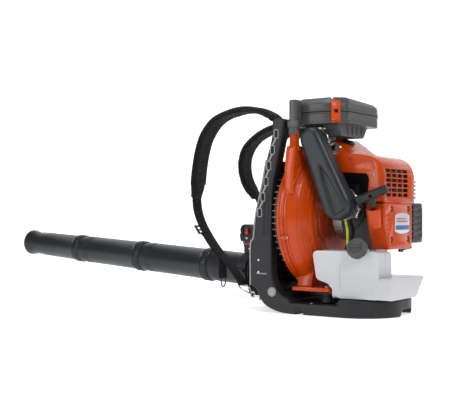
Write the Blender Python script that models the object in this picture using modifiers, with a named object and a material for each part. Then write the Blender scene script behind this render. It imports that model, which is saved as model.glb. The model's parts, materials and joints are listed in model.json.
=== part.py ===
"""Backpack leaf blower: harness frame, fan, two-stroke engine, fuel, air filter and blow tubes.

Metres. +X is the wearer's right, +Y the way the tubes point, +Z up. The origin is on the floor,
straight below the crankshaft.
"""
import math

import bmesh
import bpy
from mathutils import Matrix, Vector

GAP = 0.0003             # clearance between pieces that touch
WALL = 0.003             # moulded walls

AXIS_Z = 0.238           # crankshaft and fan above the floor
HOUSING_R = 0.178        # outside of the fan housing
FAN_R = 0.135
JOIN_Y = 0.100           # where the two fan housing halves meet

FRAME_HALF = 0.150       # half the frame's width
FLANGE = 0.030           # width of each side rail
BASE_TOP = 0.042

CYL_Y = -0.045           # cylinder centreline, fore and aft
BORE_R = 0.0255
THROW = 0.0185           # half the stroke
HEAD_TOP = 0.356
REAR_Y = -0.127          # rear face of the starter cover
SIDE_X = 0.090           # left face of the engine cover is at -SIDE_X

TUBE_X = 0.200           # the blow tubes run forward here
TUBE_SLOPE = math.tan(math.radians(3.8))
TUBE_JOINTS = (0.360, 0.588, 0.865, 1.141, 1.407)
TUBE_RADII = (0.0480, 0.0465, 0.0445, 0.0415)
YAW_Y = 0.200            # the bellows bends sideways here
PITCH_Y = 0.310          # and up and down here
HANDLE_Y = 0.455

HOSE_TOP = (0.046, 0.428)      # Y and Z of the intake hose where it meets the filter
HOSE_FOOT = (-0.026, 0.270)    # and where it meets the carburettor
SPIGOT_X = -0.0895

TANK_X = -0.121
FILTER_JOIN = 0.495      # parting line of the air filter
PULL = Vector((-0.30, -0.04, 0.95)).normalized()   # the way the starter rope leaves

PLANES = {               # columns: outline across, outline up, thickness
    "X": Matrix(((0, 0, 1), (1, 0, 0), (0, 1, 0))),
    "Y": Matrix(((1, 0, 0), (0, 0, -1), (0, 1, 0))),
    "Z": Matrix.Identity(3),
}


# ---------------------------------------------------------------- scene and materials

def clear_scene():
    for item in list(bpy.data.objects):
        bpy.data.objects.remove(item, do_unlink=True)


def collection(name):
    group = bpy.data.collections.new(name)
    bpy.context.scene.collection.children.link(group)
    return group


def material(name, colour, roughness, metallic=0.0):
    made = bpy.data.materials.new(name)
    made.use_nodes = True
    shader = made.node_tree.nodes["Principled BSDF"]
    shader.inputs["Base Color"].default_value = (*colour, 1)
    shader.inputs["Roughness"].default_value = roughness
    shader.inputs["Metallic"].default_value = metallic
    return made


clear_scene()
PARTS = collection("backpack_leaf_blower")
CUTTERS = collection("cutters")

ORANGE = material("orange_shell", (0.80, 0.16, 0.02), 0.30)
GREY = material("frame_grey", (0.055, 0.06, 0.065), 0.50)
LIGHT_GREY = material("filter_grey", (0.20, 0.20, 0.20), 0.45)
BLACK = material("black_plastic", (0.02, 0.02, 0.022), 0.50)
TUBE_GREY = material("tube_grey", (0.05, 0.06, 0.075), 0.45)
HOSE_RUBBER = material("hose_rubber", (0.07, 0.08, 0.09), 0.55)
FABRIC = material("black_fabric", (0.03, 0.028, 0.028), 0.90)
WEBBING = material("webbing", (0.02, 0.02, 0.022), 0.85)
TANK_WHITE = material("tank_white", (0.80, 0.80, 0.82), 0.40)
STEEL = material("steel", (0.60, 0.60, 0.62), 0.30, 1.0)
ALLOY = material("cast_alloy", (0.55, 0.56, 0.57), 0.45, 1.0)
FUEL_HOSE = material("fuel_hose", (0.62, 0.70, 0.05), 0.40)
FOAM = material("filter_foam", (0.15, 0.13, 0.10), 0.95)
CERAMIC = material("ceramic", (0.85, 0.85, 0.82), 0.25)


# ---------------------------------------------------------------- shapes

def add_object(name, mesh, finish, matrix=None, smooth=True):
    made = bpy.data.objects.new(name, mesh)
    PARTS.objects.link(made)
    mesh.materials.clear()
    mesh.materials.append(finish)
    if smooth:
        mesh.shade_smooth()
        mesh.set_sharp_from_angle(angle=math.radians(35))
    if matrix is not None:
        made.matrix_world = matrix
    return made


def from_bmesh(name, shape, finish, matrix=None):
    mesh = bpy.data.meshes.new(name)
    bmesh.ops.recalc_face_normals(shape, faces=shape.faces)
    shape.to_mesh(mesh)
    shape.free()
    return add_object(name, mesh, finish, matrix)


def round_edges(item, width, segments=1, angle=50):
    bevel = item.modifiers.new("round_edges", "BEVEL")
    bevel.width = width
    bevel.segments = segments
    bevel.limit_method = "ANGLE"
    bevel.angle_limit = math.radians(angle)
    return item


def box(name, low, high, finish, round_by=0.0, segments=1):
    shape = bmesh.new()
    bmesh.ops.create_cube(shape, size=1)
    size = [b - a for a, b in zip(low, high)]
    bmesh.ops.scale(shape, vec=size, verts=shape.verts)
    centre = [(a + b) / 2 for a, b in zip(low, high)]
    made = from_bmesh(name, shape, finish, Matrix.Translation(centre))
    return round_edges(made, round_by, segments) if round_by else made


def from_curve(name, curve, finish, matrix):
    """A closed mesh from a curve, with the curve's loose caps welded on."""
    guide = bpy.data.objects.new(name + "_curve", curve)
    CUTTERS.objects.link(guide)
    bpy.context.view_layer.update()
    seen = guide.evaluated_get(bpy.context.evaluated_depsgraph_get())
    mesh = bpy.data.meshes.new_from_object(seen)
    mesh.name = name
    shape = bmesh.new()
    shape.from_mesh(mesh)
    bmesh.ops.remove_doubles(shape, verts=shape.verts, dist=0.00001)
    bmesh.ops.recalc_face_normals(shape, faces=shape.faces)
    shape.to_mesh(mesh)
    shape.free()
    bpy.data.objects.remove(guide)
    return add_object(name, mesh, finish, matrix)


def prism(name, outline, axis, start, end, finish):
    """A flat outline given thickness along X, Y or Z."""
    curve = bpy.data.curves.new(name, "CURVE")
    curve.dimensions = "2D"
    curve.fill_mode = "BOTH"
    curve.extrude = abs(end - start) / 2
    spline = curve.splines.new("POLY")
    spline.points.add(len(outline) - 1)
    for point, (across, up) in zip(spline.points, outline):
        point.co = (across, up, 0, 1)
    spline.use_cyclic_u = True
    middle = Vector([(start + end) / 2 if axis == each else 0 for each in "XYZ"])
    matrix = Matrix.Translation(middle) @ PLANES[axis].to_4x4()
    return from_curve(name, curve, finish, matrix)


def turn_to(direction):
    return Vector(direction).to_track_quat("Z", "Y").to_matrix().to_4x4()


def rod(name, start, end, radius, finish, sides=16, end_radius=None):
    start, end = Vector(start), Vector(end)
    shape = bmesh.new()
    bmesh.ops.create_cone(shape, cap_ends=True, segments=sides, radius1=radius,
                          radius2=radius if end_radius is None else end_radius,
                          depth=(end - start).length)
    matrix = Matrix.Translation((start + end) / 2) @ turn_to(end - start)
    return from_bmesh(name, shape, finish, matrix)


def turned(name, profile, base, direction, finish, steps=24):
    """A turned piece. profile is (radius, height) pairs, down the outer side first."""
    closed = profile[0][0] > 0
    mesh = bpy.data.meshes.new(name)
    count = len(profile)
    edges = [(i, (i + 1) % count) for i in range(count if closed else count - 1)]
    mesh.from_pydata([(radius, 0, height) for radius, height in profile], edges, [])
    made = bpy.data.objects.new(name, mesh)
    PARTS.objects.link(made)
    mesh.materials.append(finish)
    made.matrix_world = Matrix.Translation(base) @ turn_to(direction)
    screw = made.modifiers.new("turn", "SCREW")
    screw.steps = screw.render_steps = steps
    screw.use_merge_vertices = True
    screw.merge_threshold = 0.00001
    screw.use_smooth_shade = True
    return made


def ring(name, inner, outer, base, direction, length, finish, steps=24):
    profile = [(outer, length), (outer, 0), (inner, 0), (inner, length)]
    return turned(name, profile, base, direction, finish, steps)


def tube(name, points, radius, finish, resolution=2, radii=None):
    """A bent round bar along points; radii scales it at each point."""
    curve = bpy.data.curves.new(name, "CURVE")
    curve.dimensions = "3D"
    curve.bevel_depth = radius
    curve.bevel_resolution = resolution
    curve.use_fill_caps = True
    spline = curve.splines.new("POLY")
    spline.points.add(len(points) - 1)
    for i, point in enumerate(points):
        spline.points[i].co = (*point, 1)
        spline.points[i].radius = radii[i] if radii else 1
    return from_curve(name, curve, finish, Matrix.Identity(4))


def smooth_path(points, steps):
    """Points along a smooth curve through the given ones."""
    points = [Vector(point) for point in points]
    ends = [2 * points[0] - points[1]] + points + [2 * points[-1] - points[-2]]
    path = []
    for i in range(1, len(ends) - 2):
        a, b, c, d = ends[i - 1:i + 3]
        for step in range(steps):
            t = step / steps
            path.append(0.5 * (2 * b + (c - a) * t + (2 * a - 5 * b + 4 * c - d) * t ** 2
                               + (3 * b - a - 3 * c + d) * t ** 3))
    return path + [points[-1]]


def band(name, path, thickness, width, finish, places):
    """A strap whose side view follows path (y, z). places gives X at its two ends."""
    path = [Vector((0, y, z)) for y, z in path]
    sides = ([], [])
    for i, point in enumerate(path):
        along = path[min(i + 1, len(path) - 1)] - path[max(i - 1, 0)]
        across = Vector((0, -along.z, along.y)).normalized() * thickness / 2
        sides[0].append((point + across).yz)
        sides[1].append((point - across).yz)
    made = prism(name, sides[0] + sides[1][::-1], "X", -width / 2, width / 2, finish)
    top, bottom = path[0].z, path[-1].z
    for vert in made.data.vertices:
        share = min(max((top - vert.co.y) / (top - bottom), 0), 1)
        vert.co.z += places[0] + (places[1] - places[0]) * share
    return made


def arc(centre, radius, start, end, steps):
    """Points on an arc, its angles in degrees."""
    angles = [math.radians(start + (end - start) * i / steps) for i in range(steps + 1)]
    return [(centre[0] + radius * math.cos(a), centre[1] + radius * math.sin(a)) for a in angles]


def operand(item):
    PARTS.objects.unlink(item)
    CUTTERS.objects.link(item)
    item.hide_render = True
    item.display_type = "WIRE"
    return item


def boolean(item, tools, operation):
    for tool in tools:
        step = item.modifiers.new(operation.lower(), "BOOLEAN")
        step.operation = operation
        step.object = operand(tool)
    return item


def cut(item, *tools):
    return boolean(item, tools, "DIFFERENCE")


def join(item, *tools):
    return boolean(item, tools, "UNION")


def many_boxes(name, places, finish):
    """Boxes that stand apart, as one cutter or as one operand."""
    shape = bmesh.new()
    for low, high in places:
        made = bmesh.ops.create_cube(shape, size=1)["verts"]
        bmesh.ops.scale(shape, vec=[b - a for a, b in zip(low, high)], verts=made)
        bmesh.ops.translate(shape, vec=[(a + b) / 2 for a, b in zip(low, high)], verts=made)
    return from_bmesh(name, shape, finish)


def moves_on(name, pivot, *items):
    """Pieces that move together hang from an empty on their joint's axis."""
    empty = bpy.data.objects.new(name, None)
    PARTS.objects.link(empty)
    empty.matrix_world = Matrix.Translation(pivot)
    bpy.context.view_layer.update()
    for item in items:
        item.parent = empty
        item.matrix_parent_inverse = empty.matrix_world.inverted()


# ---------------------------------------------------------------- frame and harness

RAIL_FRONT = [(0.150, 0.482), (0.149, 0.440), (0.168, 0.380), (0.182, 0.313), (0.200, 0.243),
              (0.207, 0.186), (0.216, 0.167), (0.216, 0.066), (0.197, 0.058), (0.180, 0.020),
              (0.141, 0.004), (0.110, 0.000)]
RAIL_REAR = [(-0.020, 0.000), (-0.020, 0.028), (0.068, 0.028), (0.112, 0.038), (0.142, 0.060),
             (0.153, 0.095), (0.152, 0.186), (0.150, 0.313), (0.134, 0.380), (0.120, 0.440),
             (0.113, 0.482)]
PLATE_REAR = [(0.130, 0.438), (0.148, 0.380), (0.160, 0.313), (0.173, 0.243), (0.180, 0.186),
              (0.186, 0.100), (0.160, 0.050)]


def back_frame():
    frame = prism("back_frame", RAIL_FRONT + RAIL_REAR, "X", -FRAME_HALF, FRAME_HALF, GREY)
    inner = FRAME_HALF - FLANGE
    hollow = prism("channel", [(0.05, 0.438)] + PLATE_REAR + [(0.05, 0.050)], "X", -inner, inner, GREY)
    handle_gap = box("handle_gap", (-0.105, 0.05, 0.378), (0.105, 0.30, 0.440), GREY)
    front = prism("pad_seat", [(0.240, 0.205), (0.1915, 0.205), (0.167, 0.360), (0.240, 0.360)],
                  "X", -inner, inner, GREY)
    corner = 0.110
    plan = [(-FRAME_HALF, 0.05)]
    plan += arc((-FRAME_HALF + corner, -0.150 + corner), corner, 180, 270, 6)
    plan += arc((0.100 - corner, -0.150 + corner), corner, 270, 360, 6)
    plan += [(FRAME_HALF, -0.02), (FRAME_HALF, 0.05)]
    base = prism("base", plan, "Z", 0, BASE_TOP, GREY)
    foot_gap = prism("foot_gap", [(-0.05, -0.01), (-0.035, 0.016), (0.035, 0.016), (0.05, -0.01)],
                     "Y", -0.30, -0.060, GREY)
    step = box("base_step", (-0.20, -0.035, 0.0275), (0.20, 0.10, 0.06), GREY)
    join(frame, base)
    slots = [((-0.16, y - 0.016, z - 0.009), (-FRAME_HALF + 0.004, y - 0.007, z + 0.009))
             for y, z in ((0.1535, 0.422), (0.1605, 0.398), (0.168, 0.372), (0.1735, 0.345),
                          (0.1795, 0.318))]
    cut(frame, hollow, handle_gap, front, step, foot_gap, many_boxes("slots", slots, GREY))


def back_pads():
    """The pad behind the wearer's back and the one on the hips."""
    back = prism("back_pad", [(0.2025, 0.210), (0.1925, 0.212), (0.1695, 0.350), (0.176, 0.356),
                              (0.196, 0.345), (0.222, 0.240)], "X", -0.108, 0.108, FABRIC)
    round_edges(back, 0.006, 2)
    hips = prism("hip_pad", [(0.2165, 0.030), (0.2165, 0.160), (0.228, 0.172), (0.250, 0.160),
                             (0.266, 0.110), (0.268, 0.050), (0.252, 0.026)],
                 "X", -0.094, 0.094, FABRIC)
    round_edges(hips, 0.006, 2)


PAD_LEFT = [(0.158, 0.478), (0.180, 0.495), (0.215, 0.509), (0.262, 0.514), (0.310, 0.506),
            (0.350, 0.490), (0.380, 0.458), (0.397, 0.415), (0.406, 0.365), (0.410, 0.315),
            (0.412, 0.283)]
PAD_RIGHT = [(0.158, 0.468), (0.200, 0.486), (0.262, 0.492), (0.320, 0.482), (0.366, 0.460),
             (0.400, 0.430), (0.414, 0.392), (0.410, 0.350), (0.390, 0.312), (0.370, 0.290)]
WEB_LEFT = [(0.4125, 0.2795), (0.408, 0.250), (0.396, 0.222), (0.374, 0.190), (0.340, 0.150),
            (0.304, 0.116), (0.276, 0.084), (0.262, 0.068)]
WEB_RIGHT = [(0.3685, 0.2865), (0.350, 0.250), (0.330, 0.205), (0.306, 0.150), (0.283, 0.100),
             (0.266, 0.070)]
STRAP_X = (0.108, 0.118)         # of each strap, at its top and at its bottom


def harness(side, pad_path, web_path):
    sign = -1 if side == "left" else 1
    pad_x = (sign * STRAP_X[0], sign * 0.116)
    web_x = (pad_x[1], sign * STRAP_X[1])
    band("shoulder_pad_" + side, pad_path, 0.014, 0.062, FABRIC, pad_x)
    band("webbing_" + side, web_path, 0.003, 0.038, WEBBING, web_x)
    y, z = web_path[-1]
    x = web_x[1]
    wire = 0.0022
    low, high = (y - 0.033, z - 0.030), (y + 0.001, z - 0.006)
    loop = [(x + 0.020, high[0], high[1]), (x - 0.020, high[0], high[1]),
            (x - 0.018, high[0] - 0.014, high[1] - 0.012), (x, low[0], low[1] + 0.001),
            (x + 0.018, high[0] - 0.014, high[1] - 0.012)]
    closed_loop("d_ring_" + side, loop, wire, STEEL)
    hook_start = (x, low[0] - 2.2 * wire, low[1] + 0.0005)
    tube("strap_hook_" + side, [hook_start, (x, 0.212, 0.036), (x - sign * 0.002, 0.2015, 0.036)],
         0.003, STEEL)


def closed_loop(name, points, radius, finish):
    curve = bpy.data.curves.new(name, "CURVE")
    curve.dimensions = "3D"
    curve.bevel_depth = radius
    curve.bevel_resolution = 1
    spline = curve.splines.new("POLY")
    spline.points.add(len(points) - 1)
    for place, point in zip(spline.points, points):
        place.co = (*point, 1)
    spline.use_cyclic_u = True
    return from_curve(name, curve, finish, Matrix.Identity(4))


def strap_adjusters():
    """Ladder-lock buckles lying on the webbing."""
    for side, sign, (y, z), lean in (("left", -1, (0.3862, 0.2080), 54), ("right", 1, (0.3195, 0.1805), 64)):
        frame = box("strap_adjuster_" + side, (-0.025, 0, -0.014), (0.025, 0.0076, 0.014), BLACK, 0.0015)
        x = sign * 0.117
        frame.matrix_world = (Matrix.Translation((x, y, z))
                              @ Matrix.Rotation(math.radians(lean - 90), 4, "X")
                              @ Matrix.Translation((0, 0.0075, 0)))


def dampers():
    for side, sign in (("left", -1), ("right", 1)):
        rod("damper_" + side, (sign * 0.105, 0.017, 0.0275 + GAP), (sign * 0.105, 0.017, 0.058 - GAP),
            0.0155, BLACK, 20)


# ---------------------------------------------------------------- fan

def fan_housing():
    centre = (0, 0, AXIS_Z)
    r = HOUSING_R
    front = turned("fan_housing_front", [
        (0.112, 0.126), (r - 0.008, 0.126), (r, 0.120), (r, JOIN_Y + GAP), (r - 0.005, JOIN_Y + GAP),
        (r - 0.005, 0.117), (r - 0.010, 0.122), (0.112, 0.122)], centre, (0, 1, 0), ORANGE, 36)
    rear = turned("fan_housing_rear", [
        (r, JOIN_Y), (r, 0.085), (r - 0.012, 0.066), (r - 0.028, 0.056), (0.128, 0.047), (0.030, 0.047),
        (0.030, 0.051), (0.126, 0.051), (r - 0.031, 0.060), (r - 0.016, 0.070), (r - 0.005, 0.087),
        (r - 0.005, JOIN_Y)], centre, (0, 1, 0), ORANGE, 36)
    ear = [(-0.160, 0.412), (-0.112, 0.412), (-0.096, 0.386), (-0.118, 0.366), (-0.150, 0.331),
           (-0.170, 0.292), (-0.169, 0.360)]
    flange = box("bottom_flange", (-0.135, -0.002, 0.058), (0.135, JOIN_Y, 0.0665), ORANGE)
    post = prism("filter_post", arc((-0.138, 0.0915), 0.0145, 0, 330, 11), "Z", 0.405, 0.458, ORANGE)
    join(rear, prism("ear", ear, "Y", 0.076, JOIN_Y, ORANGE), flange, post)
    stub = ring("outlet_stub", 0.030, 0.034, (0.110, 0.0865, 0.102), (1, 0, -0.15), 0.042, ORANGE, 20)
    window = rod("outlet_hole", (0.100, 0.0865, 0.1035), (0.156, 0.0865, 0.095), 0.030, ORANGE, 20)
    trim = box("half_trim", (0.08, 0.04, 0.02), (0.20, JOIN_Y, 0.20), ORANGE)
    stub_half = boolean(stub, [trim], "INTERSECT")
    join(rear, stub_half)
    cut(rear, window)
    cut(front, rod("outlet_hole_front", (0.100, 0.0865, 0.1035), (0.156, 0.0865, 0.095), 0.035, ORANGE, 20))


def inlet_grille():
    """A louvred ring between the frame and the fan housing, open to the fan's eye."""
    grille = ring("inlet_grille", 0.150, 0.156, (0, 0.1263, AXIS_Z), (0, 1, 0), 0.014, BLACK, 28)
    slats = [((-0.153, 0.129, AXIS_Z + k * 0.022 - 0.002), (0.153, 0.138, AXIS_Z + k * 0.022 + 0.002))
             for k in range(-5, 6)]
    bars = boolean(many_boxes("slats", slats, BLACK),
                   [rod("slat_trim", (0, 0.10, AXIS_Z), (0, 0.16, AXIS_Z), 0.153, BLACK, 28)], "INTERSECT")
    spine = box("grille_spine", (-0.003, 0.129, AXIS_Z - 0.152), (0.003, 0.139, AXIS_Z + 0.152), BLACK)
    join(grille, spine, bars)


def crank_train():
    """Crankshaft, flywheel and fan, turning together on the crankshaft's axis."""
    def shaft(name, y0, y1, radius, drop=0.0, sides=16):
        return rod(name, (0, y0, AXIS_Z - drop), (0, y1, AXIS_Z - drop), radius, STEEL, sides)

    crank = shaft("crankshaft", -0.0975, CYL_Y - 0.008, 0.008)
    join(crank, shaft("web_rear", CYL_Y - 0.0165, CYL_Y - 0.007, 0.0265, 0, 20),
         shaft("crank_pin", CYL_Y - 0.012, CYL_Y + 0.012, 0.006, THROW),
         shaft("web_front", CYL_Y + 0.007, CYL_Y + 0.0165, 0.0265, 0, 20),
         shaft("shaft_front", CYL_Y + 0.009, 0.1135, 0.0075))
    centre = (0, 0, AXIS_Z)
    wheel = turned("flywheel", [(0.058, 0.030), (0.058, 0.006), (0.0085, 0.006), (0.0085, 0.014),
                                (0.050, 0.014), (0.050, 0.030)], centre, (0, 1, 0), ALLOY, 32)
    fan = turned("fan_wheel", [(0.030, 0.108), (0.040, 0.066), (FAN_R, 0.064), (FAN_R, 0.061),
                               (0.0078, 0.061), (0.0078, 0.108)], centre, (0, 1, 0), BLACK, 24)
    blades = bmesh.new()
    for k in range(12):
        blade = bmesh.ops.create_cube(blades, size=1)["verts"]
        place = (Matrix.Translation(centre) @ Matrix.Rotation(math.tau * k / 12, 4, "Y")
                 @ Matrix.Translation((0.086, 0.0855, 0)) @ Matrix.Rotation(math.radians(24), 4, "Y")
                 @ Matrix.Diagonal((0.094, 0.045, 0.0025, 1)))
        bmesh.ops.transform(blades, matrix=place, verts=blade)
    join(fan, from_bmesh("blades", blades, BLACK))
    moves_on("crank_axis", centre, crank, wheel, fan)


# ---------------------------------------------------------------- engine

def crankcase_and_cylinder():
    y0, y1 = CYL_Y - 0.032, CYL_Y + 0.040
    case = rod("crankcase", (0, y0, AXIS_Z), (0, y1, AXIS_Z), 0.042, ALLOY, 24)
    deck = box("cylinder_deck", (-0.033, CYL_Y - 0.030, AXIS_Z), (0.033, CYL_Y + 0.030, AXIS_Z + 0.046), ALLOY)
    foot = box("case_foot", (-0.030, y0, 0.150), (0.030, y1, AXIS_Z), ALLOY)
    join(case, deck, foot)
    cut(case, rod("crank_room", (0, CYL_Y - 0.019, AXIS_Z), (0, CYL_Y + 0.019, AXIS_Z), 0.0295, ALLOY, 24),
        rod("rear_bearing", (0, y0 - 0.01, AXIS_Z), (0, CYL_Y, AXIS_Z), 0.0088, ALLOY, 16),
        rod("front_bearing", (0, CYL_Y, AXIS_Z), (0, y1 + 0.01, AXIS_Z), 0.0083, ALLOY, 16),
        rod("case_mouth", (0, CYL_Y, AXIS_Z), (0, CYL_Y, AXIS_Z + 0.060), 0.0262, ALLOY, 24))
    base, top, fins = AXIS_Z + 0.0463, HEAD_TOP, 6
    pitch = (top - base) / fins
    right = []
    for k in range(fins):
        z = base + k * pitch
        right += [(0.042, z), (0.042, z + 0.45 * pitch), (0.033, z + 0.5 * pitch), (0.033, z + 0.95 * pitch)]
    outline = right[:-1] + [(0.033, top)] + [(-x, z) for x, z in reversed(right[:-1] + [(0.033, top)])]
    cylinder = prism("cylinder", outline, "Y", CYL_Y - 0.038, CYL_Y + 0.038, ALLOY)
    cut(cylinder, rod("bore", (0, CYL_Y, base - 0.01), (0, CYL_Y, 0.3405), BORE_R + 0.0002, ALLOY, 24),
        rod("plug_hole", (0, CYL_Y, 0.33), (0, CYL_Y, 0.38), 0.0062, ALLOY, 12))


def piston():
    crown = rod("piston", (0, CYL_Y, 0.3035), (0, CYL_Y, 0.3365), BORE_R - 0.0003, ALLOY, 24)
    rod_foot = AXIS_Z + THROW + 0.0075
    arm = box("connecting_rod", (-0.006, CYL_Y - 0.0045, rod_foot), (0.006, CYL_Y + 0.0045, 0.310), STEEL)
    join(crown, arm)
    moves_on("piston_axis", (0, CYL_Y, AXIS_Z), crown)


def spark_plug():
    turned("spark_plug", [(0, 0.027), (0.003, 0.027), (0.004, 0.012), (0.008, 0.008), (0.008, 0.0003),
                          (0.0058, 0.0003), (0.0058, -0.012), (0, -0.012)],
           (0, CYL_Y, HEAD_TOP), (0, 0, 1), CERAMIC, 12)


def engine_cover():
    x0, x1 = -SIDE_X, 0.078
    side = [(REAR_Y, 0.2735), (REAR_Y, 0.345), (-0.118, 0.368), (-0.096, 0.384), (-0.020, 0.396),
            (0.010, 0.420), (0.034, 0.436), (0.044, 0.436), (0.044, 0.395), (-0.008, 0.340), (-0.030, 0.330),
            (-0.052, 0.300), (-0.056, 0.2735)]
    cover = prism("engine_cover", side, "X", x0, x1, ORANGE)
    inner = [(REAR_Y + WALL, 0.26), (REAR_Y + WALL, 0.344), (-0.116, 0.365), (-0.095, 0.381), (-0.019, 0.392),
             (0.012, 0.417), (0.034, 0.432), (0.060, 0.432), (0.060, 0.26)]
    cavity = prism("cover_inside", inner, "X", x0 + WALL, x1 - WALL, ORANGE)
    round_edges(cover, 0.006, 1, 60)
    holes = [((-0.070 + 0.026 * i, REAR_Y - 0.02, 0.292 + 0.0125 * k),
              (-0.050 + 0.026 * i, REAR_Y + 0.02, 0.300 + 0.0125 * k))
             for i in range(4) for k in range(5)]
    beside_neck = box("beside_neck", (-0.11, -0.004, 0.392), (-0.043, 0.08, 0.45), ORANGE)
    cut(cover, cavity, beside_neck, many_boxes("grille_holes", holes, ORANGE))


def side_louvre():
    """Light grey ribbed screen over the cylinder's right side."""
    outline = [(-0.118, 0.283), (-0.118, 0.330), (-0.100, 0.362), (-0.070, 0.378), (-0.020, 0.378), (-0.010, 0.283)]
    screen = prism("side_louvre", outline, "X", 0.0783, 0.108, LIGHT_GREY)
    slots = [((0.086, -0.125, 0.292 + 0.012 * k), (0.12, -0.020, 0.298 + 0.012 * k)) for k in range(6)]
    cut(screen, many_boxes("louvre_slots", slots, LIGHT_GREY))


def starter():
    """Cover, pulley, rope and grip of the recoil starter."""
    x0, x1, z0, z1 = -0.088, 0.066, 0.160, 0.2727
    outline = [(x0 + 0.010, z0), (x1 - 0.008, z0), (x1, z0 + 0.008), (x1, z1), (x0, z1), (x0 - 0.002, 0.235)]
    cover = prism("starter_cover", outline, "Y", REAR_Y, -0.0805, ORANGE)
    guide = rod("rope_guide", (-0.098, -0.108, 0.215), Vector((-0.098, -0.108, 0.215)) + 0.045 * PULL, 0.014, ORANGE,
                20, 0.017)
    join(cover, guide)
    room = box("pulley_room", (x0 + WALL, REAR_Y + 0.006, z0 + WALL), (x1 - WALL, -0.07, z1 - WALL), ORANGE)
    hole_start = Vector((-0.098, -0.108, 0.215)) - 0.030 * PULL
    guide_hole = rod("guide_hole", hole_start, hole_start + 0.10 * PULL, 0.0045, ORANGE, 12)
    screws = [rod("screw_recess", (x, REAR_Y - 0.01, z), (x, REAR_Y + 0.003, z), 0.0055, ORANGE, 12)
              for x in (-0.048, 0.044) for z in (0.184, 0.258)]
    cut(cover, room, guide_hole, *screws)
    centre = (0, REAR_Y + 0.009, AXIS_Z - 0.014)
    pulley = turned("starter_pulley", [(0, 0.014), (0.036, 0.014), (0.036, 0.011), (0.030, 0.010), (0.030, 0.004),
                                       (0.036, 0.003), (0.036, 0), (0, 0)], centre, (0, 1, 0), BLACK, 24)
    moves_on("pulley_axis", centre, pulley)
    mouth = Vector((-0.098, -0.108, 0.215)) + 0.0455 * PULL
    rope = rod("starter_rope", mouth - 0.040 * PULL, mouth + 0.0005 * PULL, 0.0018, WEBBING, 8)
    stem = rod("starter_grip", mouth + 0.001 * PULL, mouth + 0.034 * PULL, 0.007, GREY, 16)
    heart = mouth + 0.034 * PULL
    bar_way = Vector((0, -0.94, 0.34))
    bar = rod("grip_bar", heart - 0.042 * bar_way, heart + 0.042 * bar_way, 0.0115, GREY, 16)
    join(stem, bar)
    moves_on("grip_axis", mouth, stem)
    return rope


def muffler():
    round_edges(box("muffler", (0.050, -0.078, 0.182), (0.108, -0.006, 0.266), STEEL), 0.012, 2)
    guard = box("muffler_guard", (0.0675, -0.124, 0.172), (0.140, 0.000, 0.2730), BLACK, 0.006)
    room = box("guard_room", (0.06, -0.119, 0.177), (0.135, 0.010, 0.2682), BLACK)
    holes = [((0.074, -0.14, 0.187 + 0.0125 * k), (0.081, -0.11, 0.193 + 0.0125 * k)) for k in range(7)]
    side = [((0.13, -0.105 + 0.016 * k, 0.19), (0.15, -0.097 + 0.016 * k, 0.262)) for k in range(6)]
    cut(guard, room, many_boxes("guard_holes", holes, BLACK), many_boxes("side_slots", side, BLACK))


def carburetor():
    body = box("carburetor", (-0.078, -0.048, 0.246), (-0.0425, -0.008, 0.292), ALLOY, 0.003)
    y, z = HOSE_FOOT
    join(body, rod("adapter", (-0.0912, y, z), (-0.070, y, z), 0.021, ALLOY, 20))
    bulb_seat = (-0.060, -0.028, 0.2457)
    cut(body, rod("throat", (-0.10, y, z), (-0.043, y, z), 0.011, ALLOY, 16),
        rod("bulb_room", (-0.060, -0.028, 0.240), (-0.060, -0.028, 0.2530), 0.0103, ALLOY, 16))
    lever = prism("choke_lever", [(-0.056, 0.2975), (-0.050, 0.2925), (-0.044, 0.2975), (-0.044, 0.322),
                                  (-0.056, 0.322)], "X", -0.081, -0.0783, BLACK)
    lever.matrix_world = Matrix.Translation((0, 0, -0.004)) @ lever.matrix_world
    moves_on("choke_axis", (-0.08, -0.050, 0.291), lever)
    bulb = turned("primer_bulb", [(0, 0.011), (0.006, 0.0095), (0.0095, 0.004), (0.0095, 0), (0, 0)],
                  bulb_seat, (0, 0, -1), FOAM, 16)
    moves_on("primer_axis", bulb_seat, bulb)


def intake_hose():
    """Wide rubber elbow from the air filter down to the carburettor."""
    (y0, z0), (y1, z1) = HOSE_TOP, HOSE_FOOT
    lean = math.degrees(math.atan2(z0 - z1, y0 - y1))
    outline = arc(HOSE_TOP, 0.027, lean - 90, lean + 90, 8) + arc(HOSE_FOOT, 0.039, lean + 90, lean + 270, 8)
    hose = round_edges(prism("intake_hose", outline, "X", -0.150, -0.106, HOSE_RUBBER), 0.012, 2, 60)
    join(hose, rod("upper_port", (-0.115, y0, z0), (SPIGOT_X - GAP, y0, z0), 0.0215, HOSE_RUBBER, 20),
         rod("lower_port", (-0.115, y1, z1), (-0.0915, y1, z1), 0.0325, HOSE_RUBBER, 20))
    ring("hose_clamp_upper", 0.0218, 0.0245, (-0.1010, y0, z0), (1, 0, 0), 0.0090, STEEL, 20)
    ring("hose_clamp_lower", 0.0328, 0.0360, (-0.1040, y1, z1), (1, 0, 0), 0.0100, STEEL, 20)


# ---------------------------------------------------------------- fuel

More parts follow.
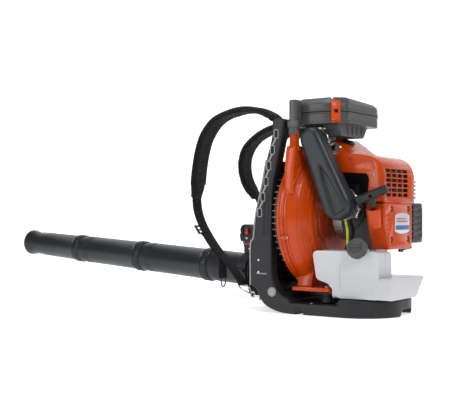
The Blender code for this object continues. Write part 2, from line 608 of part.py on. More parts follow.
def fuel():
    x1 = -0.060
    upper = prism("fuel_tank", [(-0.132, 0.045), (-0.132, 0.150), (-0.126, 0.157), (0.036, 0.157), (0.044, 0.150),
                                (0.034, 0.088), (0.000, 0.078), (-0.026, 0.0445)], "X", TANK_X, x1, TANK_WHITE)
    low = prism("tank_low", [(-0.055 + TANK_X + 0.055, 0.0445), (0.012, 0.0445), (0.058, 0.094), (TANK_X, 0.096)],
                "Y", -0.163, -0.010, TANK_WHITE)
    join(upper, low)
    out = Vector((-0.89, 0, 0.455))
    seat = Vector((TANK_X + 0.009, -0.082, 0.156))
    join(upper, rod("tank_neck", seat - 0.012 * out, seat + 0.012 * out, 0.018, TANK_WHITE, 20))
    base = seat + (0.012 + GAP) * out
    cap = turned("fuel_cap", [(0, 0.020), (0.021, 0.020), (0.0245, 0.016), (0.0245, 0), (0, 0)], base, out, GREY, 20)
    moves_on("cap_axis", base, cap)
    hose = smooth_path([(-0.070, -0.020, 0.1576), (-0.072, -0.020, 0.178), (-0.077, -0.022, 0.205),
                        (-0.074, -0.016, 0.230), (-0.0735, -0.014, 0.2455)], 2)
    tube("fuel_hose", hose, 0.0033, FUEL_HOSE)


# ---------------------------------------------------------------- air filter

FILTER_PLAN = [(-0.120, 0.104), (-0.120, 0.006), (-0.098, -0.018), (-0.086, -0.030), (0.076, -0.030),
               (0.094, -0.010), (0.094, 0.092), (0.080, 0.107), (-0.116, 0.107)]


def inset(outline, centre, scale):
    return [(centre[0] + (x - centre[0]) * scale, centre[1] + (y - centre[1]) * scale) for x, y in outline]


def air_filter():
    middle = (-0.013, 0.038)
    base = prism("filter_base", FILTER_PLAN, "Z", 0.466, FILTER_JOIN - GAP, LIGHT_GREY)
    funnel = prism("filter_funnel", [(-0.085, 0.4365), (0.030, 0.4365), (0.055, 0.470), (-0.095, 0.470)],
                   "Y", -0.010, 0.085, LIGHT_GREY)
    y, z = HOSE_TOP
    outlet = rod("filter_outlet", (SPIGOT_X, y, z), (-0.050, y, z + 0.010), 0.0205, LIGHT_GREY, 20)
    outlet_face = box("outlet_face", (-0.12, 0.0, 0.39), (SPIGOT_X, 0.074, 0.4655), LIGHT_GREY)
    bracket = box("post_bracket", (-0.152, 0.074, 0.4583), (-0.110, 0.103, 0.474), LIGHT_GREY)
    join(base, funnel, outlet, bracket)
    cut(base, outlet_face, prism("tray", inset(FILTER_PLAN, middle, 0.95), "Z", 0.472, 0.55, LIGHT_GREY),
        rod("outlet_bore", (-0.110, y, z), (-0.050, y, z + 0.012), 0.016, LIGHT_GREY, 20),
        box("funnel_room", (-0.060, 0.02, 0.440), (0.020, 0.070, 0.48), LIGHT_GREY))
    cover = prism("filter_cover", FILTER_PLAN, "Z", FILTER_JOIN, 0.532, LIGHT_GREY)
    round_edges(cover, 0.010, 2, 60)
    cut(cover, prism("lid_inside", inset(FILTER_PLAN, middle, 0.90), "Z", 0.48, 0.5275, LIGHT_GREY))
    box("filter_element", (-0.098, 0.000, 0.4725), (0.070, 0.088, 0.5180), FOAM, 0.003)
    left = prism("filter_clip_left", [(-0.1000, 0.4720), (-0.1000, 0.5200), (-0.1035, 0.5200), (-0.1065, 0.512),
                                      (-0.1065, 0.480), (-0.1035, 0.4720)], "Y", -0.011, 0.011, ORANGE)
    turn = Matrix.Rotation(math.radians(45), 4, "Z")
    place = Vector((-0.1100, -0.0070, 0)) - turn @ Vector((-0.1000, 0, 0))
    left.matrix_world = Matrix.Translation(place) @ turn @ left.matrix_world
    right = prism("filter_clip_right", [(0.0950, 0.4720), (0.0950, 0.5200), (0.0985, 0.5200), (0.1015, 0.512),
                                        (0.1015, 0.480), (0.0985, 0.4720)], "Y", 0.010, 0.034, ORANGE)
    moves_on("left_clip_axis", (-0.112, -0.008, 0.518), left)
    moves_on("right_clip_axis", (0.098, 0.022, 0.518), right)


# ---------------------------------------------------------------- blow tubes and control handle

def tube_z(y):
    return 0.087 + (y - TUBE_JOINTS[1]) * TUBE_SLOPE


def on_tube(y, lift=0.0):
    return Vector((TUBE_X, y, tube_z(y) + lift))


TUBE_WAY = Vector((0, 1, TUBE_SLOPE)).normalized()


def tube_ring(name, profile, y0, finish=TUBE_GREY, steps=24):
    """A turned piece on the tubes' axis, its heights measured forward from y0."""
    return turned(name, profile, on_tube(y0), TUBE_WAY, finish, steps)


def outlet_elbow():
    start = Vector((0.1530, 0.0865, 0.0955))
    out = Vector((1, 0, -0.15)).normalized()
    end = on_tube(0.1495)
    turn = [start + 0.006 * out, (0.178, 0.090, 0.086), (0.194, 0.106, 0.070), end - 0.012 * TUBE_WAY]
    path = [start] + smooth_path(turn, 3) + [end]
    count = len(path)
    radii = [0.034 + (0.044 - 0.034) * i / (count - 1) for i in range(count)]
    outer = tube("outlet_elbow", path, 1.0, TUBE_GREY, 3, radii)
    ahead = list(path)
    ahead[0] = ahead[0] - (ahead[1] - ahead[0]).normalized() * 0.002
    ahead[-1] = ahead[-1] + TUBE_WAY * 0.002
    inner = tube("elbow_bore", ahead, 1.0, TUBE_GREY, 3, [r - 0.004 for r in radii])
    cut(outer, inner)


def corrugated(length, low, high, wall, folds):
    outer, inner = [], []
    for k in range(2 * folds + 1):
        r = high if k % 2 else low
        outer.append((r, length * (1 - k / (2 * folds))))
        inner.append((r - wall, length * (1 - k / (2 * folds))))
    return outer + inner[::-1]


def bellows():
    tube_ring("bellows_rear", corrugated(0.0925, 0.0425, 0.0480, 0.003, 4), 0.1500 + GAP, HOSE_RUBBER, 20)
    rings = tube_ring("bellows_ring", [(0.0495, 0.021), (0.0495, 0), (0.0400, 0), (0.0400, 0.021)], 0.2435)
    tube_ring("bellows_front", corrugated(0.0930, 0.0425, 0.0480, 0.003, 4), 0.2655, HOSE_RUBBER, 20)
    moves_on("yaw_axis", on_tube(YAW_Y), rings)


def blow_tubes():
    joints, radii = TUBE_JOINTS, TUBE_RADII
    names = ("swivel_tube", "tube_middle", "tube_front", "nozzle")
    pieces = []
    for i, name in enumerate(names):
        length = (joints[i + 1] - joints[i]) / TUBE_WAY.y - GAP
        r = radii[i]
        end = r - 0.0015 if i < 3 else r - 0.003
        collar = r + 0.0035
        profile = [(end, length), (r, 0.030), (collar, 0.028), (collar, 0), (r - WALL, 0),
                   (r - WALL, 0.030), (end - WALL, length)]
        if i == 3:
            profile = [(end + 0.004, length), (end + 0.004, length - 0.020), (end, length - 0.026)] + profile[1:]
            profile[-1] = (end - WALL, length - 0.026)
            profile.append((end + 0.004 - WALL, length))
        pieces.append(tube_ring(name, profile, joints[i]))
    moves_on("pitch_axis", on_tube(PITCH_Y), *pieces)


def control_handle():
    """Clamp on the swivel tube with the throttle grip standing on it."""
    r = TUBE_RADII[0]
    clamp = tube_ring("throttle_handle", [(r + 0.0045, 0.030), (r + 0.0045, 0), (r + 0.0006, 0), (r + 0.0006, 0.030)],
                      HANDLE_Y - 0.015, GREY)
    foot = on_tube(HANDLE_Y, r + 0.002)
    side = [(foot.y - 0.013, foot.z - 0.001), (foot.y + 0.014, foot.z - 0.001), (foot.y + 0.012, foot.z + 0.018),
            (foot.y + 0.024, foot.z + 0.050), (foot.y + 0.028, foot.z + 0.074), (foot.y + 0.016, foot.z + 0.086),
            (foot.y - 0.006, foot.z + 0.084), (foot.y - 0.016, foot.z + 0.068), (foot.y - 0.014, foot.z + 0.030)]
    grip = round_edges(prism("grip", side, "X", TUBE_X - 0.016, TUBE_X + 0.016, GREY), 0.004)
    slot = box("trigger_slot", (TUBE_X - 0.006, foot.y + 0.008, foot.z + 0.026),
               (TUBE_X + 0.006, foot.y + 0.05, foot.z + 0.070), GREY)
    switch_seat = box("switch_seat", (TUBE_X - 0.0055, foot.y - 0.04, foot.z + 0.044),
                      (TUBE_X + 0.0055, foot.y - 0.009, foot.z + 0.063), GREY)
    lever_seat = box("lever_seat", (TUBE_X - 0.03, foot.y - 0.010, foot.z + 0.051),
                     (TUBE_X - 0.0118, foot.y + 0.018, foot.z + 0.079), GREY)
    join(clamp, grip)
    cut(clamp, slot, switch_seat, lever_seat)
    trigger = prism("throttle_trigger", [(foot.y + 0.010, foot.z + 0.066), (foot.y + 0.030, foot.z + 0.067),
                                         (foot.y + 0.037, foot.z + 0.052), (foot.y + 0.033, foot.z + 0.034),
                                         (foot.y + 0.027, foot.z + 0.034), (foot.y + 0.026, foot.z + 0.048)],
                    "X", TUBE_X - 0.005, TUBE_X + 0.005, BLACK)
    lever = prism("cruise_lever", [(foot.y - 0.006, foot.z + 0.056), (foot.y + 0.006, foot.z + 0.056),
                                   (foot.y + 0.004, foot.z + 0.072), (foot.y - 0.002, foot.z + 0.074)],
                  "X", TUBE_X - 0.0215, TUBE_X - 0.0122, ORANGE)
    switch = box("stop_switch", (TUBE_X - 0.0050, foot.y - 0.0205, foot.z + 0.0450),
                 (TUBE_X + 0.0050, foot.y - 0.0095, foot.z + 0.0550), ORANGE)
    moves_on("handle_axis", on_tube(HANDLE_Y), clamp)
    moves_on("trigger_axis", foot + Vector((0, 0.014, 0.062)), trigger)
    moves_on("lever_axis", foot + Vector((-0.017, 0, 0.060)), lever)
    moves_on("switch_axis", foot + Vector((0, -0.015, 0.050)), switch)


def throttle_cable():
    route = [(-0.070, -0.0525, 0.270), (-0.068, -0.060, 0.240), (-0.050, -0.010, 0.176), (0.000, 0.030, 0.128),
             (0.060, 0.034, 0.110), (0.115, 0.035, 0.118), (0.165, 0.045, 0.140), (0.205, 0.085, 0.138),
             (0.214, 0.135, 0.125), (0.212, 0.200, 0.124), (0.210, 0.260, 0.128), (0.208, 0.330, 0.130),
             (0.206, 0.380, 0.1285), (0.204, 0.415, 0.1335), (0.2035, 0.4365, 0.1420)]
    tube("throttle_cable", smooth_path(route, 3), 0.0025, BLACK)


def main():
    back_frame()
    back_pads()
    harness("left", PAD_LEFT, WEB_LEFT)
    harness("right", PAD_RIGHT, WEB_RIGHT)
    strap_adjusters()
    dampers()
    fan_housing()
    inlet_grille()
    crank_train()
    crankcase_and_cylinder()
    piston()
    spark_plug()
    engine_cover()
    side_louvre()
    starter()
    muffler()
    carburetor()
    intake_hose()
    fuel()
    air_filter()
    outlet_elbow()
    bellows()
    blow_tubes()
    control_handle()
    throttle_cable()
    bpy.context.view_layer.update()


main()
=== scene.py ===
"""Backpack leaf blower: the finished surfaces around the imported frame, laid out as an add-on."""
import json
import math

import bmesh
import bpy
from mathutils import Matrix, Vector, noise


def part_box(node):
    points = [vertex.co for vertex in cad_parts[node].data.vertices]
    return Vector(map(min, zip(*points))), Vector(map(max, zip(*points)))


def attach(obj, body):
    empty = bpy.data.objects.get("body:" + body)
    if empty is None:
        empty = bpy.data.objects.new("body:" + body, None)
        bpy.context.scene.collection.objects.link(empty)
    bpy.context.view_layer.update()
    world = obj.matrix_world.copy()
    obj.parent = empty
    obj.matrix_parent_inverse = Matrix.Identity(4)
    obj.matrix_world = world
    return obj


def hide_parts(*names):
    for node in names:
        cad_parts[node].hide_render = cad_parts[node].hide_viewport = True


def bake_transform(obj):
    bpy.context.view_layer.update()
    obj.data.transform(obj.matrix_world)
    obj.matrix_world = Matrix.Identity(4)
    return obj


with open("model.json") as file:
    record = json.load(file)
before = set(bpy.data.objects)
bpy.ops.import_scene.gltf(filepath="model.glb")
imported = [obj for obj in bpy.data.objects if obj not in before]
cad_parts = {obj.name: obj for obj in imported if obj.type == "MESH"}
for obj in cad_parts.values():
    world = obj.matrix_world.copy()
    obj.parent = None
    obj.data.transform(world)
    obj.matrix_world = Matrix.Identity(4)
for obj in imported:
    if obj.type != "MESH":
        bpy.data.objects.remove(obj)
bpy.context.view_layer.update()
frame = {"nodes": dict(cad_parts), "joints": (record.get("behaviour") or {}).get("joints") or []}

bl_info = {
    "name": "Backpack Leaf Blower",
    "version": (1, 0, 0),
    "blender": (4, 5, 0),
    "location": "View3D > Sidebar > Leaf Blower",
    "description": "Builds the surfaces of a backpack leaf blower around its jointed frame",
    "category": "Add Mesh",
}

JOINTS = {joint["name"]: joint for joint in frame["joints"]}
MACHINE = "machine"

AXIS = Vector((0, 0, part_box("fan_wheel")[0].z / 2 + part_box("fan_wheel")[1].z / 2))
HOUSING_R = (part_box("fan_housing_front")[1].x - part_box("fan_housing_front")[0].x) / 2
RAIL_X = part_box("back_frame")[1].x
RAIL_WIDTH = 0.030
CRANK_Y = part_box("cylinder")[0].y / 2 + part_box("cylinder")[1].y / 2

RAIL_FRONT = [(0.150, 0.482), (0.149, 0.440), (0.168, 0.380), (0.182, 0.313), (0.200, 0.243),
              (0.207, 0.186), (0.216, 0.167), (0.216, 0.066), (0.197, 0.058), (0.180, 0.020),
              (0.141, 0.004), (0.110, 0.000)]
RAIL_REAR = [(-0.020, 0.000), (-0.020, 0.028), (0.068, 0.028), (0.112, 0.038), (0.142, 0.060),
             (0.153, 0.095), (0.152, 0.186), (0.150, 0.313), (0.134, 0.380), (0.120, 0.440),
             (0.113, 0.482)]
PLATE_REAR = [(0.130, 0.438), (0.148, 0.380), (0.160, 0.313), (0.173, 0.243), (0.180, 0.186),
              (0.186, 0.100), (0.160, 0.050)]
PAD_ROUTES = {
    "left": [(0.158, 0.478), (0.180, 0.495), (0.215, 0.509), (0.262, 0.514), (0.310, 0.506),
             (0.350, 0.490), (0.380, 0.458), (0.397, 0.415), (0.406, 0.365), (0.410, 0.315),
             (0.412, 0.283)],
    "right": [(0.158, 0.468), (0.200, 0.486), (0.262, 0.492), (0.320, 0.482), (0.366, 0.460),
              (0.400, 0.430), (0.414, 0.392), (0.410, 0.350), (0.390, 0.312), (0.370, 0.290)],
}
WEB_ROUTES = {
    "left": [(0.4125, 0.2795), (0.408, 0.250), (0.396, 0.222), (0.374, 0.190), (0.340, 0.150),
             (0.304, 0.116), (0.276, 0.084), (0.262, 0.068)],
    "right": [(0.3685, 0.2865), (0.350, 0.250), (0.330, 0.205), (0.306, 0.150), (0.283, 0.100),
              (0.266, 0.070)],
}
SIDES = {"left": -1, "right": 1}
TUBE_NODES = ("swivel_tube", "tube_middle", "tube_front", "nozzle")
TUBE_WAY = Vector(JOINTS["handle_slide"]["axis"])
PITCH = Vector(JOINTS["tube_pitch"]["pos_m"])
PULL = Vector(JOINTS["starter_pull"]["axis"])


# ---------------------------------------------------------------- shader maths

class Value:
    """A node's output, with arithmetic that adds the Math nodes it needs."""

    def __init__(self, tree, socket):
        self.tree = tree
        self.socket = socket

    def math(self, operation, first, second=0.0):
        return Paint.node(self, "ShaderNodeMath", {"operation": operation}, {0: first, 1: second})

    def __add__(self, other):
        return self.math("ADD", self, other)

    def __sub__(self, other):
        return self.math("SUBTRACT", self, other)

    def __mul__(self, other):
        return self.math("MULTIPLY", self, other)

    __radd__ = __add__
    __rmul__ = __mul__


class Paint:
    """A material's node tree, built from calls."""

    def __init__(self, name):
        self.material = bpy.data.materials.new(name)
        self.material.use_nodes = True
        self.tree = self.material.node_tree
        self.shader = self.tree.nodes["Principled BSDF"]

    def node(self, kind, settings=None, inputs=None, output=0):
        made = self.tree.nodes.new(kind)
        for key, value in (settings or {}).items():
            if key == "stops":
                ramp = made.color_ramp
                while len(ramp.elements) < len(value):
                    ramp.elements.new(0.5)
                for element, (place, shade) in zip(ramp.elements, value):
                    element.position = place
                    element.color = (*shade, 1) if hasattr(shade, "__len__") else (shade, shade, shade, 1)
            else:
                setattr(made, key, value)
        for key, value in (inputs or {}).items():
            if isinstance(value, Value):
                self.tree.links.new(value.socket, made.inputs[key])
            else:
                made.inputs[key].default_value = value
        return Value(self.tree, made.outputs[output])

    def coordinates(self, source="Object"):
        return self.node("ShaderNodeTexCoord", output=source)

    def mapped(self, scale):
        return self.node("ShaderNodeMapping", None, {"Vector": self.coordinates(), "Scale": scale})

    def speckle(self, scale, detail=3.0, roughness=0.55, vector=None):
        where = vector or self.coordinates()
        return self.node("ShaderNodeTexNoise", None,
                         {"Vector": where, "Scale": scale, "Detail": detail, "Roughness": roughness})

    def ramp(self, value, *stops):
        return self.node("ShaderNodeValToRGB", {"stops": stops}, {"Fac": value})

    def mix(self, factor, first, second):
        mixed = self.tree.nodes.new("ShaderNodeMix")
        mixed.data_type = "RGBA"
        for index, value in ((0, factor), (6, first), (7, second)):
            if isinstance(value, Value):
                self.tree.links.new(value.socket, mixed.inputs[index])
            else:
                mixed.inputs[index].default_value = (*value, 1) if hasattr(value, "__len__") else value
        return Value(self.tree, mixed.outputs[2])

    def bump(self, height, strength, distance):
        return self.node("ShaderNodeBump", None,
                         {"Height": height, "Strength": strength, "Distance": distance})

    def surface(self, **sockets):
        for name, value in sockets.items():
            socket = self.shader.inputs[name.replace("_", " ")]
            if isinstance(value, Value):
                self.tree.links.new(value.socket, socket)
            elif hasattr(value, "__len__"):
                socket.default_value = (*value, 1)
            else:
                socket.default_value = value
        return self.material


def shade(colour, factor):
    return tuple(min(channel * factor, 1) for channel in colour)


def gloss_moulding(name, colour, roughness=0.22, coat=0.14):
    """Injection-moulded shell: faint orange peel and paler handling scuffs in random patches."""
    paint = Paint(name)
    cloud = paint.speckle(9.0, 4.0)
    scuff = paint.ramp(paint.speckle(70.0, 6.0, 0.7), (0.52, 0.0), (0.72, 1.0))
    tint = paint.mix(cloud, shade(colour, 0.90), shade(colour, 1.08))
    tint = paint.mix(scuff * 0.10, tint, shade(colour, 1.35))
    peel = paint.bump(paint.speckle(420.0, 2.0), 0.06, 0.0004)
    return paint.surface(Base_Color=tint, Roughness=cloud * 0.08 + scuff * 0.14 + roughness,
                         Normal=peel, Coat_Weight=coat, Coat_Roughness=0.06, Specular_IOR_Level=0.22)


def grained_moulding(name, colour, roughness=0.46, grain=1500.0, depth=0.22):
    """Spark-eroded plastic: fine grain, paler rubbed patches."""
    paint = Paint(name)
    cloud = paint.speckle(14.0, 5.0, 0.6)
    rub = paint.ramp(paint.speckle(55.0, 8.0, 0.75), (0.50, 0.0), (0.80, 1.0))
    tint = paint.mix(cloud, shade(colour, 0.82), shade(colour, 1.22))
    tint = paint.mix(rub * 0.22, tint, shade(colour, 1.9))
    texture = paint.bump(paint.speckle(grain, 2.0, 0.5), depth, 0.0004)
    return paint.surface(Base_Color=tint, Roughness=cloud * 0.12 + rub * 0.10 + roughness - 0.06,
                         Normal=texture, Specular_IOR_Level=0.32)


def moulded_rubber(name, colour, roughness=0.55):
    """Rubber with bloom in broad patches and a fine matt skin."""
    paint = Paint(name)
    bloom = paint.ramp(paint.speckle(18.0, 5.0, 0.6), (0.35, 0.0), (0.70, 1.0))
    tint = paint.mix(bloom, shade(colour, 0.84), shade(colour, 1.25))
    skin = paint.bump(paint.speckle(900.0, 3.0), 0.14, 0.0005)
    return paint.surface(Base_Color=tint, Roughness=bloom * 0.14 + roughness - 0.05, Normal=skin,
                         Specular_IOR_Level=0.32)


def drawn_tube(name, colour):
    """Extruded tube wall: long faint streaks, fine scratches across and a satin grain."""
    paint = Paint(name)
    streak = paint.speckle(1.0, 4.0, 0.6, paint.mapped((60, 3, 60)))
    scratch = paint.ramp(paint.speckle(1.0, 6.0, 0.7, paint.mapped((40, 420, 40))), (0.60, 0.0), (0.78, 1.0))
    tint = paint.mix(streak, shade(colour, 0.80), shade(colour, 1.25))
    tint = paint.mix(scratch * 0.14, tint, shade(colour, 2.4))
    grain = paint.bump(paint.speckle(1100.0, 2.0) + scratch * 0.3, 0.12, 0.0004)
    return paint.surface(Base_Color=tint, Roughness=streak * 0.10 + scratch * 0.12 + 0.30, Normal=grain,
                         Specular_IOR_Level=0.35)


def woven_cover(name, colour):
    """Coarse basket weave over foam, faded in random patches."""
    paint = Paint(name)
    threads = [paint.node("ShaderNodeTexWave", {"bands_direction": way, "wave_profile": "SIN"},
                          {"Vector": paint.coordinates(), "Scale": 190.0, "Distortion": 1.2, "Detail": 2.0})
               for way in ("X", "Y", "Z")]
    weave = threads[0] * threads[1] + threads[1] * threads[2] + threads[2] * threads[0]
    fade = paint.ramp(paint.speckle(22.0, 6.0, 0.65), (0.38, 0.0), (0.75, 1.0))
    tint = paint.mix(fade, shade(colour, 0.70), shade(colour, 1.55))
    tint = paint.mix(weave * 0.30, tint, shade(colour, 2.3))
    cloth = paint.bump(weave + paint.speckle(60.0, 6.0) * 1.4, 0.55, 0.0009)
    return paint.surface(Base_Color=tint, Roughness=fade * 0.08 + 0.84, Normal=cloth,
                         Sheen_Weight=0.06, Sheen_Roughness=0.5, Specular_IOR_Level=0.15)


def ribbed_webbing(name, colour):
    """Flat webbing: ribs across the strap from its own UVs."""
    paint = Paint(name)
    place = paint.coordinates("UV")
    ribs = paint.node("ShaderNodeTexWave", {"bands_direction": "Y"},
                      {"Vector": place, "Scale": 110.0, "Distortion": 0.6, "Detail": 1.0})
    cords = paint.node("ShaderNodeTexWave", {"bands_direction": "X"},
                       {"Vector": place, "Scale": 60.0, "Distortion": 0.2})
    fluff = paint.speckle(300.0, 4.0)
    tint = paint.mix(ribs * cords, shade(colour, 0.65), shade(colour, 1.9))
    bumps = paint.bump(ribs * 0.7 + cords * 0.5 + fluff * 0.3, 0.6, 0.0007)
    return paint.surface(Base_Color=tint, Roughness=fluff * 0.10 + 0.76, Normal=bumps, Sheen_Weight=0.04,
                         Specular_IOR_Level=0.2)


def blown_tank(name, colour):
    """Milky blow-moulded plastic, a little darker where fuel stands behind it."""
    paint = Paint(name)
    height = paint.node("ShaderNodeSeparateXYZ", None, {"Vector": paint.coordinates()}, output=2)
    fuel = paint.ramp(height + paint.speckle(12.0) * 0.004, (0.098, 1.0), (0.106, 0.0))
    cloud = paint.speckle(20.0, 4.0)
    tint = paint.mix(fuel * 0.35, paint.mix(cloud, shade(colour, 0.97), colour), shade(colour, 0.86))
    skin = paint.bump(paint.speckle(160.0, 3.0), 0.05, 0.0006)
    return paint.surface(Base_Color=tint, Roughness=cloud * 0.10 + 0.30, Normal=skin,
                         Subsurface_Weight=0.25, Subsurface_Scale=0.01, Coat_Weight=0.1)


def plated_steel(name, colour, roughness=0.16):
    paint = Paint(name)
    wear = paint.ramp(paint.speckle(140.0, 6.0, 0.7), (0.45, 0.0), (0.75, 1.0))
    tint = paint.mix(wear * 0.35, colour, shade(colour, 0.55))
    return paint.surface(Base_Color=tint, Metallic=1.0, Roughness=wear * 0.20 + roughness,
                         Normal=paint.bump(wear, 0.08, 0.0003))


def cast_metal(name, colour):
    paint = Paint(name)
    grain = paint.speckle(600.0, 4.0)
    grime = paint.ramp(paint.speckle(30.0, 6.0, 0.7), (0.40, 0.0), (0.75, 1.0))
    tint = paint.mix(grime * 0.6, colour, shade(colour, 0.35))
    return paint.surface(Base_Color=tint, Metallic=1.0, Roughness=grime * 0.20 + grain * 0.15 + 0.35,
                         Normal=paint.bump(grain, 0.35, 0.0005))


def clear_hose(name, colour):
    paint = Paint(name)
    cloud = paint.speckle(120.0, 3.0)
    return paint.surface(Base_Color=paint.mix(cloud, shade(colour, 0.75), shade(colour, 1.15)),
                         Roughness=cloud * 0.10 + 0.25, Coat_Weight=0.4, Subsurface_Weight=0.15,
                         Subsurface_Scale=0.004)


def brushed_label(name, colour):
    """Satin foil plate with a plain coloured band and no lettering."""
    paint = Paint(name)
    brush = paint.speckle(1.0, 3.0, 0.5, paint.mapped((30, 30, 900)))
    return paint.surface(Base_Color=paint.mix(brush, shade(colour, 0.9), shade(colour, 1.1)),
                         Metallic=0.3, Roughness=brush * 0.15 + 0.28, Coat_Weight=0.3)


FINISHES = {}


def make_finishes(settings):
    """Every finish by its name: the kind of surface, its colour, and what sets it apart from its kind."""
    orange = tuple(settings.shell_colour)
    kinds = {
        "orange_shell": (gloss_moulding, orange),
        "clip_orange": (gloss_moulding, shade(orange, 1.1), 0.34, 0.1),
        "frame_plastic": (grained_moulding, tuple(settings.frame_colour), 0.42),
        "filter_plastic": (grained_moulding, (0.062, 0.062, 0.063), 0.34, 1300.0, 0.12),
        # light grey for painted highlights on raised rims, edge lines, the buckle bar and slat ends, and for
        # real stitching thread
        "edge_grey": (grained_moulding, (0.26, 0.26, 0.265), 0.36),
        "black_plastic": (grained_moulding, (0.010, 0.010, 0.011), 0.38),
        # near-black for real dark joints and seals, and for painted shade: sheets and discs set behind vents,
        # openings and on well floors
        "recess_black": (grained_moulding, (0.006, 0.006, 0.007), 0.70),
        "tube_plastic": (drawn_tube, tuple(settings.tube_colour)),
        "hose_rubber": (moulded_rubber, (0.020, 0.0235, 0.028), 0.38),
        "black_rubber": (moulded_rubber, (0.014, 0.014, 0.015), 0.50),
        "pad_fabric": (woven_cover, (0.008, 0.008, 0.009)),
        "hip_fabric": (woven_cover, (0.016, 0.012, 0.011)),
        "webbing_fabric": (ribbed_webbing, (0.009, 0.009, 0.010)),
        "tank_plastic": (blown_tank, (0.52, 0.53, 0.55)),
        "bright_steel": (plated_steel, (0.56, 0.56, 0.57), 0.26),
        "dull_steel": (plated_steel, (0.40, 0.38, 0.35), 0.35),
        "cast_alloy": (cast_metal, (0.50, 0.50, 0.51)),
        "fuel_line": (clear_hose, (0.60, 0.68, 0.03)),
        "filter_foam": (woven_cover, (0.20, 0.17, 0.12)),
        "plug_ceramic": (gloss_moulding, (0.82, 0.82, 0.79), 0.15),
        "primer_rubber": (clear_hose, (0.35, 0.30, 0.24)),
        "label_foil": (brushed_label, (0.50, 0.56, 0.60)),
        "label_blue": (gloss_moulding, (0.06, 0.10, 0.30), 0.35, 0.1),
        "handle_red": (gloss_moulding, (0.62, 0.06, 0.04), 0.34, 0.1),
        # pale colour for the painted highlight dot on the handle's side
        "button_pale": (gloss_moulding, (0.78, 0.80, 0.74), 0.30, 0.1),
    }
    for name, (kind, colour, *traits) in kinds.items():
        FINISHES[name] = kind(name, colour, *traits)


# ---------------------------------------------------------------- mesh helpers

def fillet(points, radius, steps=4, closed=True):
    """The outline with each corner turned into a short curve."""
    made = []
    count = len(points)
    for i, point in enumerate(points):
        here = Vector(point)
        if not closed and i in (0, count - 1):
            made.append(here)
            continue
        reach = radius[i] if hasattr(radius, "__len__") else radius
        before, after = Vector(points[i - 1]) - here, Vector(points[(i + 1) % count]) - here
        start = here + before.normalized() * min(reach, before.length * 0.48)
        end = here + after.normalized() * min(reach, after.length * 0.48)
        for step in range(steps + 1):
            t = step / steps
            made.append(start * (1 - t) ** 2 + here * (2 * t * (1 - t)) + end * t ** 2)
    return made


def smooth_path(points, steps):
    """Points along a smooth curve through the given ones."""
    points = [Vector(point) for point in points]
    ends = [2 * points[0] - points[1]] + points + [2 * points[-1] - points[-2]]
    path = []
    for i in range(1, len(ends) - 2):
        a, b, c, d = ends[i - 1:i + 3]
        for step in range(steps):
            t = step / steps
            path.append(0.5 * (2 * b + (c - a) * t + (2 * a - 5 * b + 4 * c - d) * t ** 2
                               + (3 * b - a - 3 * c + d) * t ** 3))
    return path + [points[-1]]


def arc(centre, radius, start, end, steps):
    angles = [math.radians(start + (end - start) * i / steps) for i in range(steps + 1)]
    return [(centre[0] + radius * math.cos(a), centre[1] + radius * math.sin(a)) for a in angles]


def turns(count):
    """The angles that share out a full turn."""
    return [math.tau * i / count for i in range(count)]


def turn_to(direction):
    return Vector(direction).to_track_quat("Z", "Y").to_matrix().to_4x4()


def eased(shape, edges, round_by, segments):
    bmesh.ops.bevel(shape, geom=edges, offset=round_by, segments=segments, profile=0.5,
                    affect="EDGES", material=-1, clamp_overlap=True)


def bar(low, high, round_by=0.0, segments=3):
    """A block between two corners, its edges rounded."""
    shape = bmesh.new()
    verts = bmesh.ops.create_cube(shape, size=1)["verts"]
    bmesh.ops.scale(shape, vec=[b - a for a, b in zip(low, high)], verts=verts)
    bmesh.ops.translate(shape, vec=[(a + b) / 2 for a, b in zip(low, high)], verts=verts)
    if round_by:
        eased(shape, list({edge for vert in verts for edge in vert.link_edges}), round_by, segments)
    return shape


def slab(outline, axis, start, end, round_by=0.0, segments=3):
    """A flat outline given thickness along X, Y or Z, its rims rounded."""
    shape = bmesh.new()
    verts = []
    for u, v in outline:
        place = [u, v]
        place.insert("XYZ".index(axis), start)
        verts.append(shape.verts.new(place))
    face = shape.faces.new(verts)
    grown = bmesh.ops.extrude_face_region(shape, geom=[face], use_keep_orig=True)["geom"]
    moved = [item for item in grown if isinstance(item, bmesh.types.BMVert)]
    step = Vector([end - start if axis == each else 0 for each in "XYZ"])
    bmesh.ops.translate(shape, vec=step, verts=moved)
    if round_by:
        rims = [edge for group in (verts, moved) for edge in {e for v in group for e in v.link_edges}
                if all(v in set(group) for v in edge.verts)]
        eased(shape, rims, round_by, segments)
    return shape


def lathe(profile, base, direction, steps=96):
    """A profile of (radius, height) pairs spun about an axis; the loop is closed unless it meets the axis."""
    shape = bmesh.new()
    verts = [shape.verts.new((radius, 0, height)) for radius, height in profile]
    for pair in zip(verts, verts[1:]):
        shape.edges.new(pair)
    if profile[0][0] > 0 and profile[-1][0] > 0:
        shape.edges.new((verts[-1], verts[0]))
    bmesh.ops.spin(shape, geom=verts + shape.edges[:], cent=(0, 0, 0), axis=(0, 0, 1),
                   angle=math.tau, steps=steps, use_merge=True, use_duplicate=False)
    bmesh.ops.remove_doubles(shape, verts=shape.verts, dist=1e-6)
    bmesh.ops.transform(shape, matrix=Matrix.Translation(base) @ turn_to(direction), verts=shape.verts)
    return shape


def ring(inner, outer, base, direction, length, edge=0.0, steps=64):
    """A plain ring with its four rims eased."""
    profile = [(outer, edge), (outer, length - edge), (outer - edge, length), (inner + edge, length),
               (inner, length - edge), (inner, edge), (inner + edge, 0), (outer - edge, 0)]
    return lathe(profile if edge else [(outer, 0), (outer, length), (inner, length), (inner, 0)],
                 base, direction, steps)


